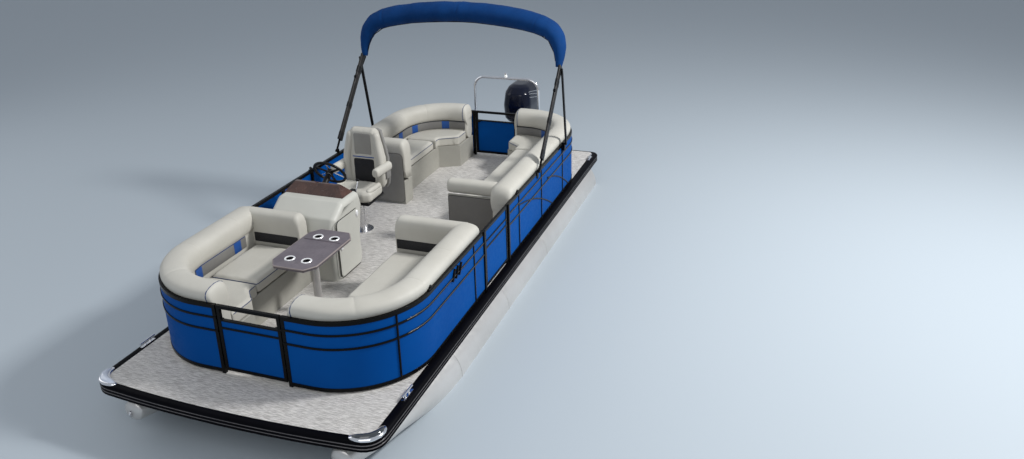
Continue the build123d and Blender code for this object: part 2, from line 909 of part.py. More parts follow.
# Motor pod between the pontoons, with the transom that carries the outboard
pod_front = deck_back + pod_length
transom_front = transom_x + transom_thickness
with BuildPart() as pod:
    with BuildSketch(Plane.XZ.offset(-pod_half)):
        with BuildLine():
            Polyline(
                (pod_front, deck_top + beam_bottom),
                (transom_front, deck_top + beam_bottom),
                (transom_front, deck_top + transom_top),
                (transom_x, deck_top + transom_top),
                (transom_x, deck_top - pod_depth),
                (transom_x + 150, deck_top - pod_depth - 30),
                (pod_front, deck_top - pod_depth + 230),
                close=True,
            )
        make_face()
    extrude(amount=2 * pod_half)
save(pod, "motor_pod")

with BuildPart() as bracket:
    clamp_top = transom_top + 14
    block((transom_x - 10, transom_x), (-clamp_outer, clamp_outer), (-clamp_drop, transom_top))
    block((transom_x - 10, transom_x + 60), (-clamp_outer, clamp_outer), (transom_top, clamp_top))
    for side in (-1, 1):
        plates = sorted((side * clamp_inner, side * clamp_outer))
        block((transom_x - 80, transom_x), plates, (-clamp_drop, clamp_top))
        block((tilt_x - 30, tilt_x + 30), plates, (transom_top, tilt_z + 24))
save(bracket, "transom_bracket")

with BuildPart() as swivel:
    reach = clamp_inner - 0.5
    rod((tilt_x, -reach, tilt_z), (tilt_x, reach, tilt_z), tilt_radius)
    block((steer_x + 10, tilt_x - 15), (-60, 60), (steer_bottom + 40, tilt_z))
    rod((steer_x, 0, steer_bottom), (steer_x, 0, steer_top), 45)
save(swivel, "swivel_bracket")

# Outboard: cowl round the powerhead, and the leg down to the gearcase
cowl_x = steer_x - 65
cowl_sections = (
    # height above the cowl's edge, middle behind the first one, length, width, corner radius
    (0, 0, 440, 300, 90),
    (70, 0, 580, 380, 130),
    (250, 0, 610, 410, 150),
    (430, 12, 570, 375, 150),
    (510, 30, 470, 300, 130),
    (540, 38, 330, 190, 90),
)
power_x = (cowl_x - 125, cowl_x + 135)
power_y = (-110, 110)
power_z = (cowl_low + 30, cowl_low + 390)
with BuildPart() as cowl:
    for start, end in zip(cowl_sections, cowl_sections[1:]):
        for height, behind, length, width, radius in (start, end):
            with BuildSketch(Plane.XY.offset(deck_top + cowl_low + height)):
                with Locations((cowl_x - behind, 0)):
                    RectangleRounded(length, width, radius)
        loft()
    block(power_x, power_y, power_z, mode=Mode.SUBTRACT)
save(cowl, "outboard_cowl")

with BuildPart() as power:
    block(power_x, power_y, power_z)
save(power, "outboard_powerhead")

pan_x = steer_x - 80
mid_x = steer_x - 132
case_front = steer_x + 130
case_back = case_front - case_length
case_shoulder = case_front - 150
strut_front = case_front - 80
strut_back = case_back + 20
strut_half = 30
yoke_top = steer_bottom - 0.5
with BuildPart() as leg:
    with BuildSketch(Plane.XY.offset(deck_top + pan_low)):
        with Locations((pan_x, 0)):
            RectangleRounded(400, 230, 80)
    extrude(amount=cowl_low - pan_low)
    with BuildSketch(Plane.XY.offset(deck_top + plate_z)):
        with Locations((mid_x, 0)):
            RectangleRounded(160, 120, 45)
    extrude(amount=pan_low - plate_z)
    rod((steer_x, 0, steer_top + 0.5), (steer_x, 0, pan_low + 2), 60)
    rod((steer_x, 0, yoke_top - 45), (steer_x, 0, yoke_top), 55)
    block((mid_x + 20, steer_x), (-45, 45), (yoke_top - 45, yoke_top))
    with BuildSketch(Plane.XY.offset(deck_top + plate_z)):
        with Locations((steer_x - 170, 0)):
            RectangleRounded(440, 220, 60)
    extrude(amount=plate_thickness)
    with BuildSketch(Plane.XY.offset(deck_top + shaft_z + case_radius / 2)):
        with BuildLine():
            strut_mid = (strut_front + strut_back) / 2
            ThreePointArc((strut_front, 0), (strut_mid, strut_half), (strut_back, 0))
            ThreePointArc((strut_back, 0), (strut_mid, -strut_half), (strut_front, 0))
        make_face()
    extrude(amount=plate_z - shaft_z - case_radius / 2)
    with BuildSketch(Plane.XY.offset(deck_top + shaft_z)):
        with BuildLine():
            Polyline((case_front, 0), (case_back, 0), (case_back, case_radius), (case_shoulder, case_radius))
            ThreePointArc(
                (case_shoulder, case_radius), (case_front - 42, 0.68 * case_radius), (case_front, 0)
            )
        make_face()
    revolve(axis=Axis((0, 0, deck_top + shaft_z), (1, 0, 0)))
    with BuildSketch(Plane.XZ.offset(-skeg_thickness / 2)):
        with BuildLine():
            Polyline(
                (case_shoulder - 15, deck_top + shaft_z - 20),
                (case_back + 30, deck_top + shaft_z - 20),
                (case_back + 5, deck_top + shaft_z - skeg_drop),
                (case_back + 90, deck_top + shaft_z - skeg_drop),
                close=True,
            )
        make_face()
    extrude(amount=skeg_thickness)
save(leg, "outboard_leg")

# Propeller: three twisted blades on a hub
blade_sections = (
    # radius, chord, thickness
    (hub_radius - 10, 86, 10),
    (110, 128, 7),
    (blade_radius, 60, 3),
)
blade_x = case_back - 57
with BuildPart() as propeller:
    with BuildSketch(Plane.YZ.offset(case_back - 0.5)):
        with Locations((0, deck_top + shaft_z)):
            Circle(hub_radius)
    extrude(amount=-hub_length)
    for i in range(3):
        turn = math.radians(120 * i)
        out = Vector(0, math.sin(turn), math.cos(turn))
        across = Vector(0, math.cos(turn), -math.sin(turn))
        for radius, chord, thickness in blade_sections:
            twist = math.atan2(blade_pitch, 2 * math.pi * radius)
            chord_line = Vector(math.sin(twist), 0, 0) + across * math.cos(twist)
            middle = Vector(blade_x, 0, deck_top + shaft_z) + out * radius
            with BuildSketch(Plane(origin=middle, x_dir=chord_line, z_dir=out)):
                with BuildLine():
                    ThreePointArc((-chord / 2, 0), (0, thickness / 2), (chord / 2, 0))
                    ThreePointArc((chord / 2, 0), (0, -thickness / 2), (-chord / 2, 0))
                make_face()
        loft()
save(propeller, "propeller")

# Fittings: cleats on the rub rail, eyes on the pontoon noses and light caps on the bow corners
cleat_half = 80
with BuildPart() as cleats:
    for x in (deck_front - 615, deck_back + 265):
        for side in (-1, 1):
            y = side * (deck_half_width - 8)
            block((x - cleat_half, x + cleat_half), (y - 14, y + 14), (rail_lip, rail_lip + 8))
            for offset in (-30, 30):
                rod((x + offset, y, rail_lip + 6), (x + offset, y, rail_lip + 36), 8)
            rod((x - cleat_half - 5, y, rail_lip + 38), (x + cleat_half + 5, y, rail_lip + 38), 9)
save(cleats, "mooring_cleats")

eye_radius = 11
eye_rim = 30
eye_thickness = 14
tip_x = nose_seam + nose_sections[-1][0]
tip_z = deck_top + tube_z + nose_sections[-1][2]
with BuildPart() as eyes:
    for side in (-1, 1):
        with BuildSketch(Plane.XZ.offset(-side * tube_y - eye_thickness / 2)):
            with Locations((tip_x + 16, tip_z)):
                Rectangle(32, 2 * eye_rim)
            with Locations((tip_x + eye_rim, tip_z)):
                Circle(eye_rim)
                Circle(eye_radius, mode=Mode.SUBTRACT)
            with Locations((tip_x - 50, tip_z)):
                Rectangle(100, 200, mode=Mode.SUBTRACT)
        extrude(amount=eye_thickness)
save(eyes, "bow_eyes")

cap_reach = 34
cap_width = 70
cap_height = 16
with BuildPart() as caps:
    with BuildSketch(Plane.XY.offset(deck_top + rail_lip)):
        add(deck_outline(-cap_reach))
        add(deck_outline(cap_width - cap_reach), mode=Mode.SUBTRACT)
    extrude(amount=cap_height)
    block((-far, deck_front - 225), (-far, far), (-far, far), mode=Mode.SUBTRACT)
    middle = deck_half_width - 270
    block((-far, far), (-middle, middle), (-far, far), mode=Mode.SUBTRACT)
    fillet(caps.edges().group_by(Axis.Z)[-1], 6)
save(caps, "bow_corner_caps")
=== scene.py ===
import json
import math

import bmesh
import bpy
from mathutils import Matrix, Vector, noise
from mathutils.bvhtree import BVHTree

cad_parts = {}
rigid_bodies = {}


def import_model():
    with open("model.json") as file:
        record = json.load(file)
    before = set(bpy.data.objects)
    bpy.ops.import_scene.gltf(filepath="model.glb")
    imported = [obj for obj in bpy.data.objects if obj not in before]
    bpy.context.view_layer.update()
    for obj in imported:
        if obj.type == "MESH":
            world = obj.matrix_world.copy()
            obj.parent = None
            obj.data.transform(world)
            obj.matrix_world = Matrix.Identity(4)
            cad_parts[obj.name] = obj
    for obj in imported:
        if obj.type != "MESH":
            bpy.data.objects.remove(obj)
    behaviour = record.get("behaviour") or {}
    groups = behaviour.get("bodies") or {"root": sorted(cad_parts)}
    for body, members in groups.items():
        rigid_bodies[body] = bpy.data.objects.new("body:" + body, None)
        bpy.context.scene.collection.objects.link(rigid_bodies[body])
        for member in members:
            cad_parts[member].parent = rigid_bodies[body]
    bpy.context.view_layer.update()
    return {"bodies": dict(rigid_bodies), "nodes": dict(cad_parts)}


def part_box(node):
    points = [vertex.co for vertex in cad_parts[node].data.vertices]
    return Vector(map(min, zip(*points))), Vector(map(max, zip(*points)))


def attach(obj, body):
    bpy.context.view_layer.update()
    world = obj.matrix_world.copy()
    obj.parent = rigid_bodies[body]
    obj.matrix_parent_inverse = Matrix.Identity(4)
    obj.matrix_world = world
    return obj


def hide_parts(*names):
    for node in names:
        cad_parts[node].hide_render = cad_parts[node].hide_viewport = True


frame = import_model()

scene = bpy.context.scene
nodes = frame["nodes"]
bothSides = ((-1, "starboard"), (1, "port"))

# Measures read from the frame, in metres. X to the bow, Y to port, Z up, water at 0.
deckLow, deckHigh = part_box("deck")
deckTop = deckHigh.z
railLow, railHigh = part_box("port_fence_frame")
fence = {
    "front": railHigh.x - 0.004,
    "back": railLow.x + 0.004,
    "half": railHigh.y - 0.004,
    "radius": 0.73,
    "top": railHigh.z,
    "rail": 0.032,
}
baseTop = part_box("bow_port_lounge_base")[1].z
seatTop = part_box("bow_port_lounge_seat")[1].z


# Scene: floor at the waterline, backdrop, lamps and the camera

camera = {
    "place": (7.4233, 3.9005, 4.3393),
    "yaw": 199.78,
    "pitch": 21.43,
    "roll": -1.37,
    "lens": 29.49,
    "shift": (-0.0034, -0.0469),
}


def addCamera():
    yaw = math.radians(camera["yaw"])
    pitch = math.radians(camera["pitch"])
    ahead = Vector((
        math.cos(yaw) * math.cos(pitch),
        math.sin(yaw) * math.cos(pitch),
        -math.sin(pitch),
    ))
    side = Vector((math.sin(yaw), -math.cos(yaw), 0))
    top = side.cross(ahead)
    turn = Matrix((side, top, -ahead)).transposed().to_4x4()
    lensData = bpy.data.cameras.new("photoCamera")
    lensData.lens = camera["lens"]
    lensData.sensor_width = 36
    lensData.shift_x, lensData.shift_y = camera["shift"]
    lensData.clip_end = 200
    eye = bpy.data.objects.new("photoCamera", lensData)
    rolled = turn @ Matrix.Rotation(math.radians(camera["roll"]), 4, "Z")
    eye.matrix_world = Matrix.Translation(camera["place"]) @ rolled
    scene.collection.objects.link(eye)
    scene.camera = eye


lamps = (
    # name, place, width, power
    ("keyLamp", (-1.8, 8.8, 8.2), 1.6, 1300),
    ("bowLamp", (9.0, 2.0, 7.5), 7.0, 250),
    ("starboardLamp", (1.0, -9.0, 6.0), 7.0, 130),
)


def addLamps():
    for name, place, width, power in lamps:
        lampData = bpy.data.lights.new(name, "AREA")
        lampData.shape = "SQUARE"
        lampData.size = width
        lampData.energy = power
        lamp = bpy.data.objects.new(name, lampData)
        lamp.location = place
        aim = Vector((0, 0, 0.6)) - Vector(place)
        lamp.rotation_euler = aim.to_track_quat("-Z", "Y").to_euler()
        scene.collection.objects.link(lamp)


def addNode(tree, kind, values=None, **facts):
    # a shader node with its settings, and values for its sockets
    node = tree.nodes.new("ShaderNode" + kind)
    for name, value in facts.items():
        setattr(node, name, value)
    for label, value in (values or {}).items():
        node.inputs[label].default_value = value
    return node


def wire(tree, *links):
    for giver, output, taker, socket in links:
        tree.links.new(giver.outputs[output], taker.inputs[socket])


def newFinish(name, values):
    finish = bpy.data.materials.new(name)
    finish.use_nodes = True
    shader = finish.node_tree.nodes["Principled BSDF"]
    for label, value in values.items():
        shader.inputs[label].default_value = value
    return finish, finish.node_tree, shader


def addWorld():
    world = bpy.data.worlds.new("softSky")
    world.use_nodes = True
    tree = world.node_tree
    tree.nodes.clear()
    out = addNode(tree, "OutputWorld")
    light = addNode(tree, "Background", {"Color": (0.80, 0.86, 0.95, 1), "Strength": 0.48})
    backdrop = addNode(tree, "Background", {"Color": (0.56, 0.61, 0.66, 1), "Strength": 1.0})
    rays = addNode(tree, "LightPath")
    mix = addNode(tree, "MixShader")
    wire(tree, (rays, "Is Camera Ray", mix, "Fac"), (light, 0, mix, 1), (backdrop, 0, mix, 2),
         (mix, 0, out, "Surface"))
    scene.world = world


def addFloor():
    sheet = bmesh.new()
    bmesh.ops.create_grid(sheet, x_segments=1, y_segments=1, size=60)
    mesh = bpy.data.meshes.new("waterLevel")
    sheet.to_mesh(mesh)
    sheet.free()
    floor = bpy.data.objects.new("waterLevel", mesh)
    pale = newFinish("paleFloor", {"Base Color": (0.40, 0.45, 0.49, 1), "Roughness": 0.6})
    mesh.materials.append(pale[0])
    scene.collection.objects.link(floor)


scene.view_settings.view_transform = "Standard"
addCamera()
addLamps()
addWorld()
addFloor()
print("camera, lamps and floor are up")


# Shader groups that more than one finish uses

flat, spot, tint = "NodeSocketFloat", "NodeSocketVector", "NodeSocketColor"


def makeGroup(name, inputs, outputs):
    group = bpy.data.node_groups.new(name, "ShaderNodeTree")
    for label, kind, value in [("Vector", spot, None)] + inputs:
        socket = group.interface.new_socket(label, in_out="INPUT", socket_type=kind)
        if value is not None:
            socket.default_value = value
    for label, kind in outputs:
        group.interface.new_socket(label, in_out="OUTPUT", socket_type=kind)
    return group, group.nodes.new("NodeGroupInput"), group.nodes.new("NodeGroupOutput")


def readPlace(group, take, *textures):
    for texture in textures:
        wire(group, (take, "Vector", texture, "Vector"), (take, "Scale", texture, "Scale"))


def colourDrift():
    # slow change between two close tints, for panels, vinyl and paint
    group, take, give = makeGroup(
        "colourDrift", [("Scale", flat, 2.0), ("First", tint, None), ("Second", tint, None)],
        [("Color", tint), ("Mask", flat)],
    )
    cloud = addNode(group, "TexNoise", {"Detail": 4, "Roughness": 0.6})
    span = addNode(group, "MapRange", {"From Min": 0.35, "From Max": 0.65})
    mix = addNode(group, "Mix", data_type="RGBA")
    readPlace(group, take, cloud)
    wire(group, (cloud, "Fac", span, "Value"), (span, "Result", mix, "Factor"),
         (take, "First", mix, "A"), (take, "Second", mix, "B"), (mix, "Result", give, "Color"),
         (span, "Result", give, "Mask"))
    return group


def pebbleGrain():
    # the fine pebbled grain of vinyl and moulded plastic
    group, take, give = makeGroup("pebbleGrain", [("Scale", flat, 400.0)], [("Height", flat)])
    cells = addNode(group, "TexVoronoi", feature="SMOOTH_F1")
    fine = addNode(group, "TexNoise", {"Detail": 2})
    total = addNode(group, "Math", operation="ADD")
    readPlace(group, take, cells, fine)
    wire(group, (cells, "Distance", total, 0), (fine, "Fac", total, 1), (total, 0, give, "Height"))
    return group


def brushedLines():
    # long fine lines along one direction, for metal and woven flooring
    group, take, give = makeGroup(
        "brushedLines", [("Stretch", spot, (1.0, 1.0, 1.0)), ("Scale", flat, 60.0)],
        [("Height", flat), ("Mask", flat)],
    )
    pull = addNode(group, "VectorMath", operation="MULTIPLY")
    lines = addNode(group, "TexNoise", {"Detail": 5, "Roughness": 0.65})
    span = addNode(group, "MapRange", {"From Min": 0.38, "From Max": 0.62})
    wire(group, (take, "Vector", pull, 0), (take, "Stretch", pull, 1),
         (pull, "Vector", lines, "Vector"), (take, "Scale", lines, "Scale"),
         (lines, "Fac", give, "Height"), (lines, "Fac", span, "Value"),
         (span, "Result", give, "Mask"))
    return group


def crossWeave():
    # over and under threads, from three crossed bands
    group, take, give = makeGroup("crossWeave", [("Scale", flat, 300.0)], [("Height", flat)])
    waves = [addNode(group, "TexWave", {"Distortion": 0.4}, bands_direction=direction)
             for direction in "XYZ"]
    first = addNode(group, "Math", operation="ADD")
    second = addNode(group, "Math", operation="ADD")
    readPlace(group, take, *waves)
    wire(group, (waves[0], "Fac", first, 0), (waves[1], "Fac", first, 1), (first, 0, second, 0),
         (waves[2], "Fac", second, 1), (second, 0, give, "Height"))
    return group


def driedSpots():
    # faint water spots and film that change the gloss
    group, take, give = makeGroup(
        "driedSpots", [("Scale", flat, 30.0), ("Clean", flat, 0.3), ("Spotted", flat, 0.5)],
        [("Roughness", flat)],
    )
    cells = addNode(group, "TexVoronoi", {"Randomness": 1})
    film = addNode(group, "TexNoise", {"Detail": 6})
    product = addNode(group, "Math", operation="MULTIPLY")
    span = addNode(group, "MapRange", {"From Min": 0.1, "From Max": 0.4})
    readPlace(group, take, cells, film)
    wire(group, (cells, "Distance", product, 0), (film, "Fac", product, 1),
         (product, 0, span, "Value"), (take, "Clean", span, "To Min"),
         (take, "Spotted", span, "To Max"), (span, "Result", give, "Roughness"))
    return group


groups = {
    "drift": colourDrift(),
    "pebble": pebbleGrain(),
    "brushed": brushedLines(),
    "weave": crossWeave(),
    "spots": driedSpots(),
}

finishes = {
    # two tints, size of the drift, gloss from and to, bump (kind, scale, depth), the rest
    "seatVinyl": ((0.455, 0.438, 0.388), (0.515, 0.498, 0.445), 1.7, 0.50, 0.60,
        "pebble", 330, 0.0004, {"shine": 0.35}),
    "greyVinyl": ((0.135, 0.13, 0.125), (0.165, 0.16, 0.15), 3.0, 0.45, 0.55,
        "pebble", 330, 0.0004, {}),
    "taupeVinyl": ((0.24, 0.23, 0.21), (0.28, 0.27, 0.245), 3.0, 0.45, 0.55,
        "pebble", 330, 0.0004, {}),
    # painted shade: the taupe drawn darker, for panels that stand in shadow
    "paintedShadeVinyl": ((0.135, 0.128, 0.118), (0.16, 0.152, 0.14), 2.0, 0.45, 0.55,
        "pebble", 330, 0.0004, {}),
    "charcoalVinyl": ((0.014, 0.014, 0.016), (0.020, 0.020, 0.022), 3.0, 0.42, 0.52,
        "weave", 260, 0.0003, {"shine": 0.3}),
    "blueVinyl": ((0.003, 0.050, 0.22), (0.004, 0.062, 0.26), 5.0, 0.4, 0.5,
        "pebble", 330, 0.0003, {}),
    "navyPiping": ((0.012, 0.03, 0.10), (0.015, 0.04, 0.13), 9.0, 0.35, 0.45,
        "weave", 500, 0.0002, {}),
    "bluePanel": ((0.0012, 0.056, 0.245), (0.0015, 0.068, 0.285), 0.8, 0.42, 0.52,
        "pebble", 3, 0.002, {"shine": 0.03}),
    "blackFrame": ((0.0018, 0.0018, 0.002), (0.003, 0.003, 0.0033), 4.0, 0.18, 0.28,
        "pebble", 700, 0.0001, {"shine": 0.12}),
    "railRubber": ((0.0018, 0.0018, 0.0028), (0.003, 0.003, 0.0045), 2.5, 0.34, 0.44,
        "pebble", 500, 0.0002, {"shine": 0.03}),
    "millAluminium": ((0.60, 0.585, 0.565), (0.68, 0.665, 0.645), 1.2, 0.28, 0.40,
        "brushed", 60, 0.0003, {"metal": 0.65, "stretch": (0.12, 1.0, 1.0)}),
    "brushedMetal": ((0.66, 0.66, 0.67), (0.74, 0.74, 0.75), 6.0, 0.22, 0.32,
        "brushed", 160, 0.0001, {"metal": 1.0, "stretch": (1.0, 1.0, 0.08)}),
    "polishedMetal": ((0.78, 0.78, 0.80), (0.86, 0.86, 0.88), 6.0, 0.06, 0.14,
        "pebble", 90, 0.00003, {"metal": 1.0}),
    "satinMetal": ((0.55, 0.53, 0.51), (0.62, 0.60, 0.58), 6.0, 0.38, 0.48,
        "brushed", 160, 0.0001, {"metal": 0.55, "stretch": (1.0, 1.0, 0.08)}),
    "ringSteel": ((0.82, 0.82, 0.82), (0.90, 0.90, 0.90), 6.0, 0.25, 0.35,
        "pebble", 200, 0.00003, {"metal": 0.3}),
    # the top's legs: their own near-black coat, drawn lighter and browner than the frame as a
    # painted sheen for their brownish highlights
    "legDarkPaintedSheen": ((0.010, 0.009, 0.009), (0.018, 0.016, 0.015), 3.0, 0.38, 0.48,
        "pebble", 500, 0.0001, {"shine": 0.3}),
    # painted highlight: a lighter brown for the bead round the table's top edge, standing for the
    # light its bevel catches
    "tableRimPaintedHighlight": ((0.22, 0.185, 0.175), (0.27, 0.23, 0.22), 5.0, 0.30, 0.40,
        "pebble", 240, 0.0001, {}),
    # painted highlight: a dark grey for the bead along each fence strip, standing for the glint of
    # light on it
    "stripPaintedHighlight": ((0.045, 0.042, 0.042), (0.070, 0.066, 0.064), 3.0, 0.24, 0.34,
        "pebble", 500, 0.0001, {}),
    # painted highlight: a grey for the beads in the rub rail's grooves, standing for the gloss
    # lines they catch
    "railPaintedHighlight": ((0.085, 0.080, 0.082), (0.13, 0.12, 0.12), 3.0, 0.20, 0.30,
        "pebble", 500, 0.0001, {}),
    "basePlastic": ((0.30, 0.29, 0.255), (0.345, 0.335, 0.295), 2.0, 0.48, 0.60,
        "pebble", 420, 0.0003, {}),
    "consoleShell": ((0.47, 0.465, 0.42), (0.52, 0.515, 0.465), 1.5, 0.42, 0.52,
        "pebble", 260, 0.0001, {"coat": 0.03}),
    "dashBrown": ((0.045, 0.022, 0.016), (0.085, 0.040, 0.028), 7.0, 0.18, 0.28,
        "brushed", 30, 0.0001, {"coat": 0.6, "stretch": (1.0, 0.15, 1.0)}),
    "gripBlack": ((0.005, 0.005, 0.0055), (0.008, 0.008, 0.009), 8.0, 0.36, 0.46,
        "pebble", 500, 0.0003, {"shine": 0.2}),
    "chairShell": ((0.20, 0.195, 0.185), (0.24, 0.235, 0.22), 4.0, 0.45, 0.55,
        "pebble", 420, 0.0003, {}),
    "tableTaupe": ((0.105, 0.09, 0.105), (0.14, 0.12, 0.135), 5.0, 0.34, 0.46,
        "pebble", 240, 0.0002, {}),
    "bootCanvas": ((0.0018, 0.030, 0.122), (0.0028, 0.042, 0.165), 2.2, 0.72, 0.85,
        "weave", 230, 0.0004, {"shine": 0.12}),
    "motorBlack": ((0.006, 0.006, 0.008), (0.009, 0.010, 0.013), 3.0, 0.22, 0.34,
        "pebble", 80, 0.0001, {"shine": 0.3}),
    "cowlNavy": ((0.002, 0.003, 0.010), (0.003, 0.005, 0.015), 2.0, 0.12, 0.20,
        "pebble", 40, 0.00005, {"shine": 0.25, "coat": 0.15}),
    "castMetal": ((0.25, 0.25, 0.25), (0.33, 0.33, 0.33), 12.0, 0.5, 0.65,
        "pebble", 120, 0.0005, {"metal": 0.8}),
    "propellerSteel": ((0.52, 0.52, 0.53), (0.62, 0.62, 0.63), 9.0, 0.2, 0.34,
        "brushed", 90, 0.0001, {"metal": 1.0, "stretch": (0.3, 1.0, 1.0)}),
}


def placeGroup(tree, where, kind, values):
    node = addNode(tree, "Group", values, node_tree=groups[kind])
    wire(tree, (where, "Object", node, "Vector"))
    return node


def makeFinish(name, first, second, size, clean, spotted, kind, scale, depth, rest):
    finish, tree, shader = newFinish(name, {
        "Metallic": rest.get("metal", 0.0), "Coat Weight": rest.get("coat", 0.0),
        "Coat Roughness": 0.12, "Specular IOR Level": rest.get("shine", 0.5),
    })
    where = addNode(tree, "TexCoord")
    drift = placeGroup(tree, where, "drift", {
        "Scale": size, "First": (*first, 1), "Second": (*second, 1),
    })
    spots = placeGroup(tree, where, "spots", {"Clean": clean, "Spotted": spotted})
    grain = {"Scale": scale}
    if kind == "brushed":
        grain["Stretch"] = rest["stretch"]
    texture = placeGroup(tree, where, kind, grain)
    bump = addNode(tree, "Bump", {"Strength": 0.6, "Distance": depth})
    wire(tree, (drift, "Color", shader, "Base Color"), (spots, "Roughness", shader, "Roughness"),
         (texture, "Height", bump, "Height"), (bump, "Normal", shader, "Normal"))
    return finish


def makeDeckVinyl():
    # woven vinyl: threads athwart the boat in two tones, over a fine cross weave
    finish, tree, shader = newFinish("deckVinyl", {"Roughness": 0.62})
    where = addNode(tree, "TexCoord")
    streaks = placeGroup(tree, where, "brushed", {"Scale": 170, "Stretch": (1.0, 0.075, 1.0)})
    threads = placeGroup(tree, where, "weave", {"Scale": 130})
    drift = placeGroup(tree, where, "drift", {
        "Scale": 0.9, "First": (0.43, 0.408, 0.38, 1), "Second": (0.48, 0.455, 0.425, 1),
    })
    mix = addNode(tree, "Mix", {"B": (0.76, 0.735, 0.695, 1)}, data_type="RGBA")
    sharper = addNode(tree, "MapRange", {"From Min": 0.25, "From Max": 0.75})
    bump = addNode(tree, "Bump", {"Strength": 0.7, "Distance": 0.0012})
    wire(tree, (drift, "Color", mix, "A"), (streaks, "Mask", sharper, "Value"),
         (sharper, "Result", mix, "Factor"), (mix, "Result", shader, "Base Color"),
         (threads, "Height", bump, "Height"), (bump, "Normal", shader, "Normal"))
    return finish


def makeLens(name, colour, glow=0.0):
    return newFinish(name, {
        "Base Color": (*colour, 1), "Roughness": 0.08, "IOR": 1.5, "Coat Weight": 1.0,
        "Coat Roughness": 0.03, "Emission Color": (*colour, 1), "Emission Strength": glow,
    })[0]


looks = {name: makeFinish(name, *facts) for name, facts in finishes.items()}
looks["deckVinyl"] = makeDeckVinyl()
looks["clearLens"] = makeLens("clearLens", (0.52, 0.57, 0.66))
looks["smokedLens"] = makeLens("smokedLens", (0.03, 0.035, 0.04))
looks["whiteLens"] = makeLens("whiteLens", (0.8, 0.8, 0.78), 0.3)
print("finishes are made:", len(looks))


# Tools for the modelled pieces

def finishPiece(work, name, look, body="hull", angle=40):
    # a worked mesh becomes a piece of the boat, shaded smooth up to the angle
    bmesh.ops.remove_doubles(work, verts=work.verts, dist=0.00005)
    bmesh.ops.recalc_face_normals(work, faces=work.faces)
    mesh = bpy.data.meshes.new(name)
    work.to_mesh(mesh)
    work.free()
    mesh.materials.append(looks[look])
    mesh.shade_smooth()
    mesh.set_sharp_from_angle(angle=math.radians(angle))
    piece = bpy.data.objects.new(name, mesh)
    scene.collection.objects.link(piece)
    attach(piece, body)
    return piece


def bodyUnder(nodeName):
    holder = nodes[nodeName].parent
    return next(name for name, body in frame["bodies"].items() if body == holder)


def refine(nodeName, look, edge=0):
    # a merged copy of a CAD piece with its edges broken, standing for the node
    work = bmesh.new()
    work.from_mesh(nodes[nodeName].data)
    bmesh.ops.remove_doubles(work, verts=work.verts, dist=0.0001)
    bmesh.ops.dissolve_limit(
        work, angle_limit=math.radians(1), verts=work.verts, edges=work.edges
    )
    piece = finishPiece(work, nodeName + "_finished", look, bodyUnder(nodeName), 32)
    if edge:
        bevel = piece.modifiers.new("brokenEdges", "BEVEL")
        bevel.width = edge
        bevel.segments = 2
        bevel.limit_method = "ANGLE"
        bevel.angle_limit = math.radians(35)
        bevel.harden_normals = True
    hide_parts(nodeName)
    return piece


def bakedMesh(thing):
    bpy.context.view_layer.update()
    return bpy.data.meshes.new_from_object(
        thing.evaluated_get(bpy.context.evaluated_depsgraph_get())
    )


def bakeModifiers(piece):
    baked = bakedMesh(piece)
    piece.modifiers.clear()
    piece.data = baked


def meshEvenly(piece, voxel, passes=0):
    # one skin of even faces, relaxed as many times as asked
    skin = piece.modifiers.new("skin", "REMESH")
    skin.mode = "VOXEL"
    skin.voxel_size = voxel
    if passes:
        piece.modifiers.new("relax", "SMOOTH").iterations = passes
    bakeModifiers(piece)
    piece.data.shade_smooth()
    return piece


def ring(radius, count=12, flat=1.0):
    step = 2 * math.pi / count
    return [(radius * math.cos(i * step), radius * flat * math.sin(i * step))
            for i in range(count)]


def bar(width, height, corner):
    # a rounded rectangle about its middle
    points = []
    for cornerX, cornerY, first in ((1, 1, 0), (-1, 1, 90), (-1, -1, 180), (1, -1, 270)):
        for turn in (first, first + 45, first + 90):
            bend = math.radians(turn)
            points.append((
                cornerX * (width / 2 - corner) + corner * math.cos(bend),
                cornerY * (height / 2 - corner) + corner * math.sin(bend),
            ))
    return points


def roundCorners(points, radius, steps=6, closed=True):
    # a line with each of its corners turned on a radius
    turned = []
    for i, point in enumerate(points):
        point = Vector(point)
        if not closed and i in (0, len(points) - 1):
            turned.append(point)
            continue
        before = Vector(points[i - 1]) - point
        after = Vector(points[(i + 1) % len(points)]) - point
        cut = radius / math.tan(before.angle(after) / 2)
        cut = min(cut, before.length * 0.49, after.length * 0.49)
        start = point + before.normalized() * cut
        end = point + after.normalized() * cut
        for step in range(steps + 1):
            t = step / steps
            turned.append(start.lerp(point, t).lerp(point.lerp(end, t), t))
    return turned


def lengths(line):
    run = [0.0]
    for first, second in zip(line, line[1:]):
        run.append(run[-1] + (second - first).length)
    return run


def pointAt(line, run, distance):
    for i in range(1, len(line)):
        if distance <= run[i] or i == len(line) - 1:
            span = run[i] - run[i - 1]
            return line[i - 1].lerp(line[i], (distance - run[i - 1]) / span)


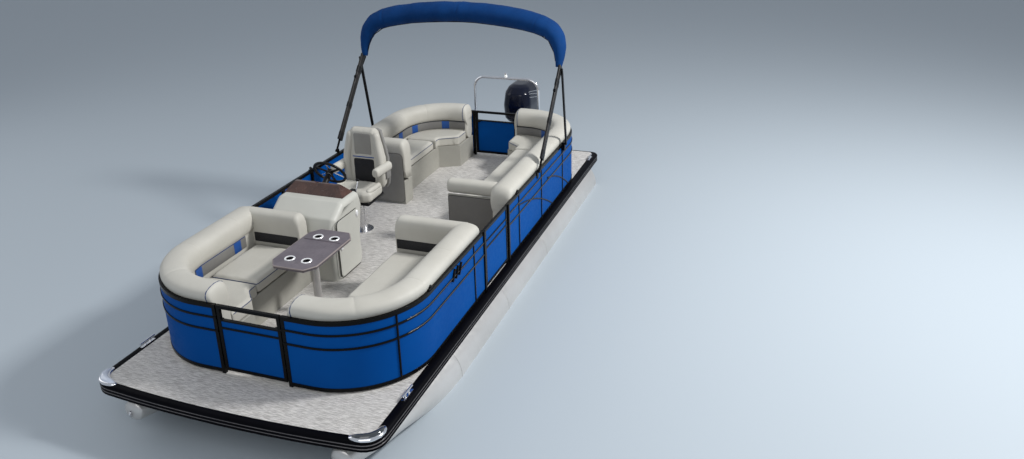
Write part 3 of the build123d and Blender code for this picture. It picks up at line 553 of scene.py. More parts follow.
def stations(line, seams=(), dip=0.985, nose=(0.0, 0.0), low=0.55, step=0.05, start=0.0,
             stop=None):
    # points along a line with a swell each: it dips at a seam and falls away at a rounded end
    line = [Vector(point) for point in line]
    run = lengths(line)
    stop = run[-1] if stop is None else stop
    count = max(2, round((stop - start) / step))
    marks = {start + (stop - start) * i / count: 1.0 for i in range(count + 1)}
    marks = {mark: 1.0 for mark in marks if start + nose[0] < mark < stop - nose[1]}
    for seam in seams:
        marks = {mark: swell for mark, swell in marks.items() if abs(mark - seam) > 0.022}
        marks.update({seam - 0.02: 1.0, seam - 0.007: (1 + dip) / 2, seam: dip,
                      seam + 0.007: (1 + dip) / 2, seam + 0.02: 1.0})
    for length, end, away in ((nose[0], start, 1), (nose[1], stop, -1)):
        for i in range(6):
            turn = math.pi / 2 * i / 5
            swell = low + (1 - low) * math.sin(turn) if length else 1.0
            marks[end + away * length * (1 - math.cos(turn))] = swell
    return [(pointAt(line, run, mark), marks[mark]) for mark in sorted(marks)]


def steady(line):
    return [(Vector(point), 1.0) for point in line]


def moved(line, y=0.0, z=0.0):
    return [point + Vector((0, y, z)) for point in line]


def rectangle(near, far, low, high):
    return [(near, low, 0), (far, low, 0), (far, high, 0), (near, high, 0)]


def sweep(name, path, section, look, body="hull", closed=False, upright=True, soft=True, angle=50):
    # a section, drawn as (right, up) about the path, carried along it
    profile = bpy.data.curves.new(name + "Profile", "CURVE")
    profile.dimensions = "2D"
    line = profile.splines.new("NURBS" if soft else "POLY")
    line.points.add(len(section) - 1)
    for point, place in zip(line.points, section):
        point.co = (*place, 0, 1)
    line.use_cyclic_u = True
    line.order_u = 3
    line.resolution_u = 2
    carrier = bpy.data.curves.new(name + "Path", "CURVE")
    carrier.dimensions = "3D"
    carrier.twist_mode = "Z_UP" if upright else "MINIMUM"
    carrier.bevel_mode = "OBJECT"
    carrier.use_fill_caps = not closed
    track = carrier.splines.new("POLY")
    track.points.add(len(path) - 1)
    track.use_cyclic_u = closed
    for point, (place, swell) in zip(track.points, path):
        point.co = (*place, 1)
        point.radius = swell
    drawn = [bpy.data.objects.new(curve.name, curve) for curve in (profile, carrier)]
    for each in drawn:
        scene.collection.objects.link(each)
    carrier.bevel_object = drawn[0]
    work = bmesh.new()
    work.from_mesh(bakedMesh(drawn[1]))
    for each in drawn:
        bpy.data.objects.remove(each)
    return finishPiece(work, name, look, body, angle)


def cord(name, line, radius, look, body="hull", count=8, **facts):
    # a thin round line of even thickness, such as piping, a bead or a rod
    return sweep(name, steady(line), ring(radius, count), look, body, **facts)


def padSweep(name, path, section, body="hull", fill=0.9, **facts):
    # a padded roll or cushion along a line
    piece = sweep(name, path, section, "seatVinyl", body, **facts)
    return piece


def block(name, low, high, look, body="hull", edge=0.004):
    work = bmesh.new()
    low, high = Vector(low), Vector(high)
    bmesh.ops.create_cube(work, size=1)
    bmesh.ops.scale(work, verts=work.verts, vec=high - low)
    bmesh.ops.translate(work, verts=work.verts, vec=(low + high) / 2)
    bmesh.ops.bevel(
        work, geom=work.edges[:], offset=edge, segments=3, profile=0.5,
        affect="EDGES", clamp_overlap=True, material=-1,
    )
    return finishPiece(work, name, look, body)


def post(name, middle, half, low, high, look, body="hull", edge=0.002):
    # an upright block about a place seen from above
    (x, y), (along, across) = middle, half
    block(name, (x - along, y - across, low), (x + along, y + across, high), look, body, edge)


def ball(name, middle, sizes, look, body="hull"):
    work = bmesh.new()
    bmesh.ops.create_uvsphere(work, u_segments=24, v_segments=14, radius=1)
    bmesh.ops.scale(work, verts=work.verts, vec=sizes)
    bmesh.ops.translate(work, verts=work.verts, vec=middle)
    return finishPiece(work, name, look, body)


def lathe(name, outline, origin, axis, look, body="hull"):
    # an outline of (radius, height) turned round an axis
    work = bmesh.new()
    corners = [work.verts.new((radius, 0, height)) for radius, height in outline]
    edges = [work.edges.new(pair) for pair in zip(corners, corners[1:])]
    bmesh.ops.spin(
        work, geom=corners + edges, cent=(0, 0, 0), axis=(0, 0, 1),
        angle=2 * math.pi, steps=40, use_merge=True,
    )
    bmesh.ops.remove_doubles(work, verts=work.verts, dist=0.00005)
    turn = Vector(axis).to_track_quat("Z", "Y").to_matrix()
    bmesh.ops.rotate(work, verts=work.verts, matrix=turn)
    bmesh.ops.translate(work, verts=work.verts, vec=origin)
    return finishPiece(work, name, look, body)


def slab(outline, low, high):
    # an outline given its thickness
    work = bmesh.new()
    floor = work.faces.new([work.verts.new((point[0], point[1], low)) for point in outline])
    grown = bmesh.ops.extrude_face_region(work, geom=[floor])
    lifted = [item for item in grown["geom"] if isinstance(item, bmesh.types.BMVert)]
    bmesh.ops.translate(work, verts=lifted, vec=(0, 0, high - low))
    return work


def plate(name, outline, low, high, look, body="hull", edge=0.0018, upright=False):
    # a slab with its edges rolled over, lying flat or stood up to face the bow
    work = slab(outline, low, high)
    rims = [rim for rim in work.edges if abs(rim.verts[0].co.z - rim.verts[1].co.z) < 1e-6]
    bmesh.ops.bevel(
        work, geom=rims, offset=edge, segments=4, profile=0.5, affect="EDGES",
        clamp_overlap=True, material=-1,
    )
    if upright:
        stood = Matrix(((0, 0, 1, 0), (1, 0, 0, 0), (0, 1, 0, 0), (0, 0, 0, 1)))
        bmesh.ops.transform(work, matrix=stood, verts=work.verts)
    return finishPiece(work, name, look, body)


pads = []
stuffing = {"pressure": 4, "frames": 20, "swell": 0.014, "spread": 0.005, "backSpread": 0.012}


def pad(name, outline, low, high, body="hull", look="seatVinyl", edge=0.03, voxel=0.013,
        upright=False):
    # a cushion from its outline: its skin meshed evenly, later puffed by cloth
    piece = meshEvenly(plate(name, outline, low, high, look, body, edge, upright), voxel)
    pads.append(piece)
    return piece


def held(shift, reach):
    return max(-reach, min(reach, shift))


def puffPads():
    # every cushion is blown up at once, then held close to its drawn shape
    drawn = {}
    for piece in pads:
        drawn[piece.name] = [vert.co.copy() for vert in piece.data.vertices]
        cloth = piece.modifiers.new("stuffing", "CLOTH")
        cloth.settings.use_pressure = True
        cloth.settings.uniform_pressure_force = stuffing["pressure"]
        cloth.settings.effector_weights.gravity = 0
        cloth.point_cache.frame_start = 1
        cloth.point_cache.frame_end = stuffing["frames"]
    for step in range(1, stuffing["frames"] + 1):
        scene.frame_set(step)
    for piece in pads:
        bakeModifiers(piece)
        forward = stuffing["backSpread" if piece.name == "helm_chair_back" else "spread"]
        for vert, rest in zip(piece.data.vertices, drawn[piece.name]):
            shift = vert.co - rest
            vert.co = rest + Vector((
                held(shift.x, forward), held(shift.y, stuffing["spread"]),
                max(0, min(stuffing["swell"], shift.z)),
            ))
        smoothing = piece.modifiers.new("finer", "SUBSURF")
        smoothing.levels = smoothing.render_levels = 1
    scene.frame_set(1)


def onSurface(piece, points):
    # points moved on to the nearest place of a piece's skin
    tree = BVHTree.FromObject(piece, bpy.context.evaluated_depsgraph_get())
    return [tree.find_nearest(Vector(point))[0] for point in points]


# Finishes on the CAD pieces that keep their own shape

plainNodes = {
    # node: finish, width of the broken edges
    "deck": ("deckVinyl", 0), "deck_beams": ("millAluminium", 0),
    "motor_pod": ("millAluminium", 0.004), "outboard_powerhead": ("castMetal", 0),
    "port_fence_frame": ("blackFrame", 0.003), "starboard_fence_frame": ("blackFrame", 0.003),
    "port_fence_panels": ("bluePanel", 0), "starboard_fence_panels": ("bluePanel", 0),
    "bow_gate_frame": ("blackFrame", 0.003), "port_gate_frame": ("blackFrame", 0.003),
    "stern_gate_frame": ("blackFrame", 0.003), "bow_gate_panel": ("bluePanel", 0),
    "port_gate_panel": ("bluePanel", 0), "stern_gate_panel": ("bluePanel", 0),
    "bow_port_lounge_base": ("basePlastic", 0.008),
    "bow_starboard_lounge_base": ("basePlastic", 0.008),
    "aft_port_lounge_base": ("basePlastic", 0.008),
    "aft_starboard_lounge_base": ("basePlastic", 0.008),
    "helm_console": ("consoleShell", 0.010), "console_door": ("consoleShell", 0.006),
    "helm_dash": ("dashBrown", 0.010), "steering_wheel": ("gripBlack", 0.001),
    "helm_chair_pedestal": ("brushedMetal", 0.002),
    "table_pedestal": ("satinMetal", 0.002), "table_top": ("tableTaupe", 0.010),
    "top_frame_brackets": ("blackFrame", 0.002), "top_frame_legs": ("blackFrame", 0),
    "top_frame_struts": ("blackFrame", 0), "tow_arch": ("polishedMetal", 0),
    "transom_bracket": ("motorBlack", 0.004), "outboard_leg": ("motorBlack", 0.004),
    "propeller": ("propellerSteel", 0), "mooring_cleats": ("polishedMetal", 0.003),
    "bow_eyes": ("polishedMetal", 0.002),
}
for nodeName, (look, edge) in plainNodes.items():
    refine(nodeName, look, edge)
# two castings become one moulded skin each: meshed evenly, then relaxed
cowl = meshEvenly(refine("outboard_cowl", "cowlNavy", 0), 0.011, 14)
meshEvenly(refine("swivel_bracket", "motorBlack", 0), 0.006, 4)

tube = {"y": 0.955, "z": 0.01, "radius": 0.32, "welds": (-2.2, -0.9, 0.4, 1.64),
        "tip": (3.148, 0.2075), "tipHalf": (0.035, 0.0915, 0.087)}
rake = {
    # how the noses rise out of the water: share of the nose, top, underside, share of the width
    "seam": 1.64, "length": 1.51, "cuts": 25,
    "stations": (
        (0.0, 0.330, -0.310, 1.0), (0.12, 0.330, -0.270, 0.995), (0.28, 0.329, -0.160, 0.975),
        (0.45, 0.328, -0.055, 0.95), (0.62, 0.322, 0.012, 0.93), (0.80, 0.314, 0.062, 0.93),
        (0.92, 0.303, 0.096, 0.95), (1.0, 0.295, 0.120, 0.97),
    ),
    "drawn": ((0.0, -0.310), (0.477, -0.252), (0.781, -0.113), (1.0, 0.105)),    # CAD underside
}


def between(table, share):
    # the values of a table's rows, read between two rows
    for first, second in zip(table, table[1:]):
        if share <= second[0]:
            break
    t = max(0.0, min(1.0, (share - first[0]) / (second[0] - first[0])))
    return [low + (high - low) * t for low, high in zip(first[1:], second[1:])]


def rakeNose(nodeName, side):
    # the nose cut into short lengths, and its underside drawn up in a rake
    piece = refine(nodeName, "millAluminium")
    work = bmesh.new()
    work.from_mesh(piece.data)
    for step in range(1, rake["cuts"]):
        bmesh.ops.bisect_plane(
            work, geom=work.verts[:] + work.edges[:] + work.faces[:], dist=0.0001,
            plane_co=(rake["seam"] + rake["length"] * step / rake["cuts"], 0, 0),
            plane_no=(1, 0, 0),
        )
    middle = side * tube["y"]
    for vert in work.verts:
        share = (vert.co.x - rake["seam"]) / rake["length"]
        if share <= 0:
            continue
        top, under, width = between(rake["stations"], share)
        (drawnUnder,) = between(rake["drawn"], share)
        if vert.co.z < top:
            vert.co.z = top - (top - vert.co.z) * (top - under) / (top - drawnUnder)
            vert.co.y = middle + (vert.co.y - middle) * width
    work.to_mesh(piece.data)
    work.free()
    piece.data.shade_smooth()
    piece.data.set_sharp_from_angle(angle=math.radians(40))


rakeNose("port_pontoon", 1)
rakeNose("starboard_pontoon", -1)
print("CAD pieces are finished:", len(plainNodes) + 4)


# Deck vinyl and the ridged rub rail

deckEdge = {"crown": 0.062, "bowRadius": 0.15, "sternRadius": 0.075, "vinylInset": 0.010,
            "sideInset": 0.038, "vinylDepth": 0.008}


def deckLine(inset, sides=None):
    # the deck's outline from above, drawn in all round, and at the sides by their own measure
    half = deckHigh.y - (inset if sides is None else sides)
    front = deckHigh.x - inset
    loop = [(front - deckEdge["crown"] * (y / half) ** 2, y, 0)
            for y in (-half, -0.8, -0.6, -0.4, -0.2, 0, 0.2, 0.4, 0.6, 0.8, half)]
    loop += [(deckLow.x + inset, half, 0), (deckLow.x + inset, -half, 0)]
    line = [Vector(point) for point in loop]
    for i in (12, 11, 10, 0):    # the last corner first, so that the places before it hold
        radius = deckEdge["bowRadius" if i in (0, 10) else "sternRadius"] - inset
        corner = [loop[i - 1], loop[i], loop[(i + 1) % 13]]
        line[i:i + 1] = roundCorners(corner, radius, 7, False)[1:-1]
    return line


sheet = slab(deckLine(deckEdge["vinylInset"], deckEdge["sideInset"]), deckTop,
             deckTop + deckEdge["vinylDepth"])
finishPiece(sheet, "deck_vinyl_sheet", "deckVinyl", angle=30)

rubRail = {
    "level": 0.40, "highlightLifts": (-0.0155, 0.0145),
    # right and up from the deck's edge: rounded bands with grooves between them
    "section": (
        (-0.002, -0.047), (0.030, -0.047), (0.042, -0.041), (0.0455, -0.031), (0.042, -0.021),
        (0.034, -0.017), (0.034, -0.015), (0.042, -0.011), (0.0455, -0.001), (0.042, 0.009),
        (0.034, 0.013), (0.034, 0.015), (0.042, 0.019), (0.046, 0.030), (0.041, 0.043),
        (0.028, 0.053), (0.012, 0.057), (-0.015, 0.057), (-0.042, 0.056), (-0.042, 0.051),
        (-0.002, 0.051),
    ),
}
rail = sweep("rub_rail", steady(moved(deckLine(0), z=rubRail["level"])), rubRail["section"],
             "railRubber", closed=True, angle=60)
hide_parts("rub_rail_bow", "rub_rail_sides", "rub_rail_stern")
# two lighter beads in the rail's grooves: painted highlights standing for the gloss lines the
# grooves catch
for number, lift in enumerate(rubRail["highlightLifts"]):
    cord(f"rub_rail_bead_{number}", moved(deckLine(-0.036), z=rubRail["level"] + lift), 0.0055,
         "railPaintedHighlight", closed=True)

cornerLight = {
    "outward": 0.004, "level": 0.457, "fromX": 3.05, "fromY": 1.06,
    "lead": (0.008, 0.06), "tail": 0.07,    # straight ends across the bow and along the side
    # radius, flatness, length of the rounded ends, margin at both ends
    "cap": (0.047, 0.50, 0.15, 0.0), "lens": (0.036, 0.98, 0.13, 0.015),
}
for side, name, lens in ((1, "port", "smokedLens"), (-1, "starboard", "clearLens")):
    # a chrome boat with a domed lens in it, lying round each bow corner
    line = moved(deckLine(-cornerLight["outward"]), z=cornerLight["level"])
    near = [point for point in line
            if point.x > cornerLight["fromX"] and side * point.y > cornerLight["fromY"]]
    near.sort(key=lambda point: side * point.y - point.x)
    ahead, across = cornerLight["lead"]
    near.insert(0, near[0] + Vector((ahead, -side * across, 0)))
    near.append(near[-1] + Vector((-cornerLight["tail"], 0, 0)))
    for part, look in (("cap", "polishedMetal"), ("lens", lens)):
        radius, flatness, nose, margin = cornerLight[part]
        path = stations(near, nose=(nose, nose), low=0.1, step=0.02, start=margin,
                        stop=lengths(near)[-1] - margin)
        piece = sweep(f"{name}_corner_{part}", path, ring(radius, 24, flatness), look)
        if side > 0 and part == "cap":
            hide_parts("bow_corner_caps")
print("deck and rub rail are modelled")


# Fence trim: cover strips, louvres, feet and rail fittings

def endOf(toward):
    return fence["front"] if toward > 0 else fence["back"]


def fenceLine(toward, side, inset, start, stop, z=0.0):
    # from a point on one side, round the corner, to the gate in the end; inwards is on the right
    end = endOf(toward)
    middleX = end - toward * fence["radius"]
    middleY = fence["half"] - fence["radius"]
    reach = fence["radius"] - inset
    line = [Vector((start, side * (fence["half"] - inset), z))]
    for i in range(15):
        turn = math.pi / 2 * (1 - i / 14)
        line.append(Vector((
            middleX + toward * reach * math.cos(turn),
            side * (middleY + reach * math.sin(turn)), z,
        )))
    line.append(Vector((end - toward * inset, side * stop, z)))
    return line if toward * side > 0 else line[::-1]


trim = {
    # places along the boat; each half is half a length and half a width
    "foot": 0.504, "head": fence["top"] - fence["rail"],    # of the covers
    "covers": (1.16, -0.08, -0.84, -1.67), "coverHalf": (0.009, 0.004),
    "cornerCovers": (("bow", 2.455), ("stern", -2.385)), "cornerY": 1.118,
    "louvres": (1.46, 1.53, 1.60), "louvreRun": 0.060, "louvreFoot": 0.952,
    "fittings": (2.05, -0.07), "fittingHalf": (0.035, 0.011), "fittingInset": 0.016,
    "knob": (0.016, 0.016, 0.014), "knobLift": 0.022,
    "feet": (1.99, 1.165, 0.27, -0.08, -0.84, -1.67), "footHalf": (0.022, 0.012),
    "footY": 1.221, "footTop": 0.474,
    # heights of the strips, and where their painted highlight ends at the bow
    "strips": (0.983, 0.862), "edge": 0.0035, "highlightStop": 2.44,
}
sideGate = {
    "posts": (0.244, 0.908), "postHalf": (0.017, 0.012), "postY": 1.234, "postFoot": 0.458,
    "skin": ((0.296, 1.2200, 0.958), (0.859, 1.2255, 1.064)),    # over the CAD's hand gap
}
for side, name in reversed(bothSides):
    y = side * (fence["half"] + 0.001)
    for number, x in enumerate(x for x in trim["covers"] if side > 0 or x < 1):
        post(f"{name}_cover_{number}", (x, y), trim["coverHalf"], trim["foot"], trim["head"],
             "blackFrame")
    for end, x in trim["cornerCovers"]:
        line = [(x, side * trim["cornerY"], z) for z in (trim["foot"], trim["head"])]
        cord(f"{name}_{end}_corner_cover", line, trim["coverHalf"][0], "blackFrame", count=12,
             upright=False)
    for number, x in enumerate(trim["louvres"]):
        line = [(x, y, trim["head"] - 0.008), (x + trim["louvreRun"], y, trim["louvreFoot"])]
        sweep(f"{name}_louvre_{number}", steady(line), bar(0.030, 0.012, 0.004), "blackFrame",
              upright=False, soft=False)
    for number, x in enumerate(trim["fittings"]):
        place = (x, side * (fence["half"] - trim["fittingInset"]))
        post(f"{name}_rail_fitting_{number}", place, trim["fittingHalf"], fence["top"] - 0.004,
             fence["top"] + 0.012, "gripBlack", edge=0.004)
        ball(f"{name}_rail_knob_{number}", (*place, fence["top"] + trim["knobLift"]),
             trim["knob"], "gripBlack")
    for number, x in enumerate(trim["feet"]):
        if side > 0 or not 0.2 < x < 0.3:    # the foot beside the gate is on port only
            post(f"{name}_foot_{number}", (x, side * trim["footY"]), trim["footHalf"],
                 deckTop + 0.006, trim["footTop"], "blackFrame")
for number, x in enumerate(sideGate["posts"]):
    post(f"port_gate_post_{number}", (x, sideGate["postY"]), sideGate["postHalf"],
         sideGate["postFoot"], fence["top"] + 0.004, "blackFrame", edge=0.004)
block("port_gate_upper_skin", *sideGate["skin"], "bluePanel", "port_gate", 0.001)
for toward, end, side, name, start in (
    (1, "bow", 1, "port", 0.925), (-1, "stern", 1, "port", 0.225),
    (1, "bow", -1, "starboard", 0.28), (-1, "stern", -1, "starboard", 0.28),
):
    # a painted highlight along each trim strip: a lighter bead standing for the glint of light on
    # it, left off across the bow
    for number, z in enumerate(trim["strips"]):
        line = [point for point in fenceLine(toward, side, -trim["edge"], start, 0.335, z)
                if point.x < trim["highlightStop"]]
        cord(f"strip_edge_{end}_{name}_{number}", line, trim["edge"], "stripPaintedHighlight", count=6)
print("fence trim is modelled")


# Lounges: swept backrests with a full top roll, end cushions, seats, bands and piping

backSection = [
    # right is inwards; from the base's top up
    (-0.098, 0.0), (-0.1025, 0.15), (-0.1035, 0.31), (-0.120, 0.352), (-0.129, 0.388),
    (-0.114, 0.424), (-0.068, 0.444), (-0.008, 0.452), (0.048, 0.446), (0.090, 0.424),
    (0.111, 0.378), (0.115, 0.325), (0.108, 0.268), (0.092, 0.248), (0.088, 0.238),
    (0.092, 0.12), (0.093, 0.0),
]
backMiddle = 0.1425
backrests = {
    # toward the bow 1 or stern -1, side, where it starts, seams along it, rounded start and end
    "bow_port": (1, 1, 0.930, (0.62, 1.18, 1.72), (0.07, 0.05)),
    "bow_starboard": (1, -1, 1.178, (0.52, 1.05, 1.62), (0.05, 0.07)),
    "aft_port": (-1, 1, 0.118, (0.60, 1.15, 1.75, 2.30), (0.05, 0.09)),
    "aft_starboard": (-1, -1, -0.84, (0.55, 1.10, 1.62), (0.07, 0.05)),
}
for name, (toward, side, start, seams, nose) in backrests.items():
    line = fenceLine(toward, side, backMiddle, start, 0.338, baseTop)
    piece = padSweep(name + "_back", stations(line, seams, 0.990, nose, 0.72), backSection,
                     fill=0.85, angle=70)
    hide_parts(name + "_lounge_backrest")
for name, (toward, side, *rest) in backrests.items():
    # piping round the rounded end that faces the gate
    loop = [(endOf(toward) - toward * (backMiddle + right * 0.985), side * 0.386,
             baseTop + up * 0.99) for right, up in backSection]
    cord(name + "_end_piping", roundCorners(loop, 0.02, 3), 0.0045, "navyPiping", closed=True,
         upright=False)

endCushions = {
    # middle x, inner and outer y, width, top
    "bow_port": (1.005, 0.402, 1.10, 0.158, 1.190),
    "bow_starboard": (1.250, -0.482, -1.10, 0.158, 1.190),
    "aft_starboard": (-0.920, -0.442, -1.10, 0.196, 1.228),
}
cushionSide = ((0.93, 0), (0.96, 0.6), (1, 0.72), (1, 0.88), (0.72, 1.0))    # of half, of height
for name, (x, inner, outer, width, top) in endCushions.items():
    tall, half = top - baseTop, width / 2
    section = [(-half * out, tall * up) for out, up in cushionSide] + [(0, tall * 1.02)]
    section += [(half * out, tall * up) for out, up in reversed(cushionSide)]
    line = [(x, inner, baseTop), (x, outer, baseTop)]
    padSweep(name + "_end_cushion", stations(line, (), 1.0, (0.05, 0.0), 0.80), section,
             fill=0.85, angle=70)
bolster = [(-0.135, 0.432, 1.073), (-0.135, 1.04, 1.073)]
padSweep("aft_port_bolster", stations(bolster, (0.55,), 0.96, (0.03, 0.03), 0.72),
         bar(0.150, 0.155, 0.055), angle=70)

seatMargin = 0.008
seatOutlines = {
    # hinged seats, each on its own body: corners seen from above
    "bow_port": ((1.091, 0.385), (2.040, 0.385), (2.040, 0.984), (1.091, 0.984)),
    "bow_starboard": ((1.336, -0.984), (2.040, -0.984), (2.040, -0.465), (1.336, -0.465)),
    "aft_port": ((-1.970, 0.515), (-0.510, 0.515), (-0.216, 0.435), (-0.216, 0.984),
                 (-1.970, 0.984)),
    "aft_starboard": ((-1.970, -0.984), (-1.026, -0.984), (-1.026, -0.575), (-1.970, -0.575)),
}
seats = {}
for name, corners in seatOutlines.items():
    corners = [Vector(corner) for corner in corners]
    middle = sum(corners, Vector((0, 0))) / len(corners)
    inset = [Vector((
        point.x - math.copysign(seatMargin, point.x - middle.x),
        point.y - math.copysign(seatMargin, point.y - middle.y), 0,
    )) for point in corners]
    seats[name] = pad(name + "_seat_pad", roundCorners(inset, 0.035), baseTop + 0.004,
                      seatTop - 0.012, name + "_seat")
    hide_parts(name + "_lounge_seat")

walkway = {"bow_port": 0.385, "bow_starboard": 0.465, "aft_port": 0.515, "aft_starboard": 0.575}
for name, edge in walkway.items():
    # the fixed seat in each corner, between the hinged one and the gate
    toward, side = backrests[name][:2]
    first = endOf(toward) - toward * (fence["radius"] + 0.006)
    wall = fenceLine(toward, side, 0.240, first, 0.345)
    wall = wall if toward * side > 0 else wall[::-1]
    walk = [(endOf(toward) - toward * 0.50, side * 0.345), (endOf(toward) - toward * 0.64,
            side * edge), (first, side * edge)]
    seats[name + "_corner"] = pad(name + "_corner_pad", wall + walk, baseTop + 0.002,
                                  seatTop - 0.010)

panels = {
    # upright panels: nearest and farthest y, low and high z, face at x, depth, finish, rounding
    # the two aft port panels are painted shade: dark sheets over the base where it stands in
    # shadow
    "aft_port_front": (0.452, 0.980, 0.480, 0.985, -0.0585, 0.006, "paintedShadeVinyl", 0.03),
    "aft_port_shoulder": (0.998, 1.186, 0.480, 0.745, 0.1215, 0.005, "paintedShadeVinyl", 0.03),
    "aft_starboard_front": (-0.960, -0.462, 0.480, 1.090, -0.8225, 0.008, "taupeVinyl", 0.06),
    "bow_port_chaise_band": (0.420, 0.985, 0.890, 0.985, 1.0815, 0.004, "charcoalVinyl", 0.01),
    "bow_starboard_chaise_band": (
        -0.985, -0.500, 0.890, 0.985, 1.3265, 0.004, "charcoalVinyl", 0.01,
    ),
}
for name, (near, far, low, high, x, thick, look, corner) in panels.items():
    face = roundCorners(rectangle(near, far, low, high), corner)
    plate(name, face, x, x + thick, look, upright=True)
    if corner > 0.02:
        rim = [(x + thick * 0.5, point.x, point.y) for point in face]
        cord(name + "_rim", rim, 0.0035, "gripBlack", closed=True, upright=False)

bands = {
    # a grey band under the top roll: where its line starts, from and to along the line, and
    # the blue blocks at these distances along it
    "bow_starboard": (1.34, 0.80, 1.54, (0.80, 1.36)),
    "aft_starboard": (-1.03, 0.05, 2.00, (0.75, 1.10, 1.55)),
    "aft_port": (-0.25, 0.03, 0.60, (0.40,)),
}
for name, (start, first, last, blocks) in bands.items():
    toward, side = backrests[name][:2]
    line = fenceLine(toward, side, 0.236, start, 0.345, 0.932)
    last = min(last, lengths(line)[-1] - 0.02)
    sweep(name + "_band", stations(line, step=0.04, start=first, stop=last),
          bar(0.012, 0.105, 0.005), "greyVinyl", soft=False)
    for number, at in enumerate(blocks):
        sweep(f"{name}_block_{number}", stations(line, step=0.03, start=at, stop=at + 0.10),
              bar(0.015, 0.106, 0.005), "blueVinyl", soft=False)
    thick, look = (0.0045, "navyPiping") if toward > 0 else (0.008, "charcoalVinyl")
    sweep(name + "_band_piping", stations(moved(line, z=0.056), step=0.04, start=first, stop=last),
          ring(thick, 8), look)
print("lounges are modelled")


# Helm chair

chairMiddle = -0.605
chairBack = (
    # height and half width there
    (0.885, 0.190), (0.930, 0.225), (1.06, 0.238), (1.24, 0.236), (1.36, 0.214), (1.46, 0.190),
    (1.550, 0.170), (1.582, 0.130),
)
chairRolls = {
    # x, out from the middle, z; section; rounded ends and their smallest share; upright or not
    "wing": (
        ((-0.225, 0.180, 0.92), (-0.200, 0.205, 1.03), (-0.190, 0.208, 1.17),
         (-0.196, 0.196, 1.30), (-0.212, 0.168, 1.43), (-0.228, 0.148, 1.54)),
        ring(0.044, 16), (0.05, 0.05), 0.3, False,
    ),
    "thigh": (
        ((-0.13, 0.205, 0.985), (0.02, 0.208, 0.99), (0.13, 0.190, 0.982)),
        ring(0.030, 16), (0.04, 0.04), 0.3, True,
    ),
    "arm": (
        ((-0.29, 0.255, 1.158), (0.040, 0.255, 1.172)),
        bar(0.086, 0.104, 0.036), (0.02, 0.035), 0.6, True,
    ),
}
chairInserts = {
    # low, high, half width, finish
    "charcoal": (0.950, 1.250, 0.138, "charcoalVinyl"),
    "grey": (1.272, 1.540, 0.118, "taupeVinyl"),
}
outline = [Vector((chairMiddle + half, z, 0)) for z, half in chairBack]
outline += [Vector((chairMiddle - half, z, 0)) for z, half in reversed(chairBack)]
backPad = pad("helm_chair_back", outline, -0.305, -0.205, "helm_chair", edge=0.04, voxel=0.010,
              upright=True)
seatLine = [(-0.172, -0.838, 0), (-0.172, -0.372, 0), (0.150, -0.362, 0), (0.190, -0.44, 0),
            (0.190, -0.77, 0), (0.150, -0.848, 0)]
pad("helm_chair_seat", roundCorners(seatLine, 0.05), 0.870, 0.985, "helm_chair", edge=0.045,
    voxel=0.010)
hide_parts("helm_chair_cushions")
shellLine = [(chairMiddle + (point.x - chairMiddle) * 1.06, min(point.y, 1.568))
             for point in outline]
shell = plate("helm_chair_shell", shellLine, -0.330, -0.290, "chairShell", "helm_chair", 0.016,
              True)
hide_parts("helm_chair_frame")
post("helm_chair_pan", (-0.0225, chairMiddle), (0.1775, 0.215), 0.832, 0.876, "gripBlack",
     "helm_chair", 0.015)
for side, label in bothSides:
    for part, (points, section, nose, low, upright) in chairRolls.items():
        line = [(x, chairMiddle + side * out, z) for x, out, z in points]
        padSweep(f"helm_chair_{label}_{part}", stations(line, nose=nose, low=low, step=0.03),
                 section, "helm_chair", upright=upright)
    post(f"helm_chair_{label}_bracket", (-0.25, chairMiddle + side * 0.252), (0.05, 0.018), 1.02,
         1.16, "chairShell", "helm_chair", 0.014)
for label, (low, high, half, look) in chairInserts.items():
    face = rectangle(chairMiddle - half, chairMiddle + half, low, high)
    pad(f"helm_chair_{label}_insert", roundCorners(face, 0.03), -0.225, -0.194, "helm_chair",
        look, 0.012, 0.008, True)
seam = [(-0.193, chairMiddle + 0.13 * i / 6, 1.261) for i in range(-6, 7)]
cord("helm_chair_insert_piping", seam, 0.006, "blueVinyl", "helm_chair")
print("helm chair is modelled")

puffPads()
print("cushions are puffed:", len(pads))
for name, corners in seatOutlines.items():
    # navy piping round each hinged seat, laid on its skin
    inset = roundCorners([(*corner, seatTop - 0.022) for corner in corners], 0.045, 5)
    cord(name + "_seat_piping", onSurface(seats[name], inset), 0.004, "navyPiping",
         name + "_seat", closed=True)
for name, edge in walkway.items():
    # and along the front of each corner seat
    toward, side = backrests[name][:2]
    front = [(endOf(toward) - toward * along, side * across, seatTop - 0.020)
             for along, across in ((0.26, 0.345), (0.50, 0.345), (0.64, edge), (0.73, edge))]
    laid = onSurface(seats[name + "_corner"], roundCorners(front, 0.10, 5, False))
    cord(name + "_corner_piping", laid, 0.004, "navyPiping")
print("seat piping is laid")


# Helm console: door line, latches, gauges, wheel spokes and throttle

def leaning(angle):
    # a direction towards the driver, raised by an angle
    bend = math.radians(angle)
    return Vector((-math.cos(bend), 0, math.sin(bend)))


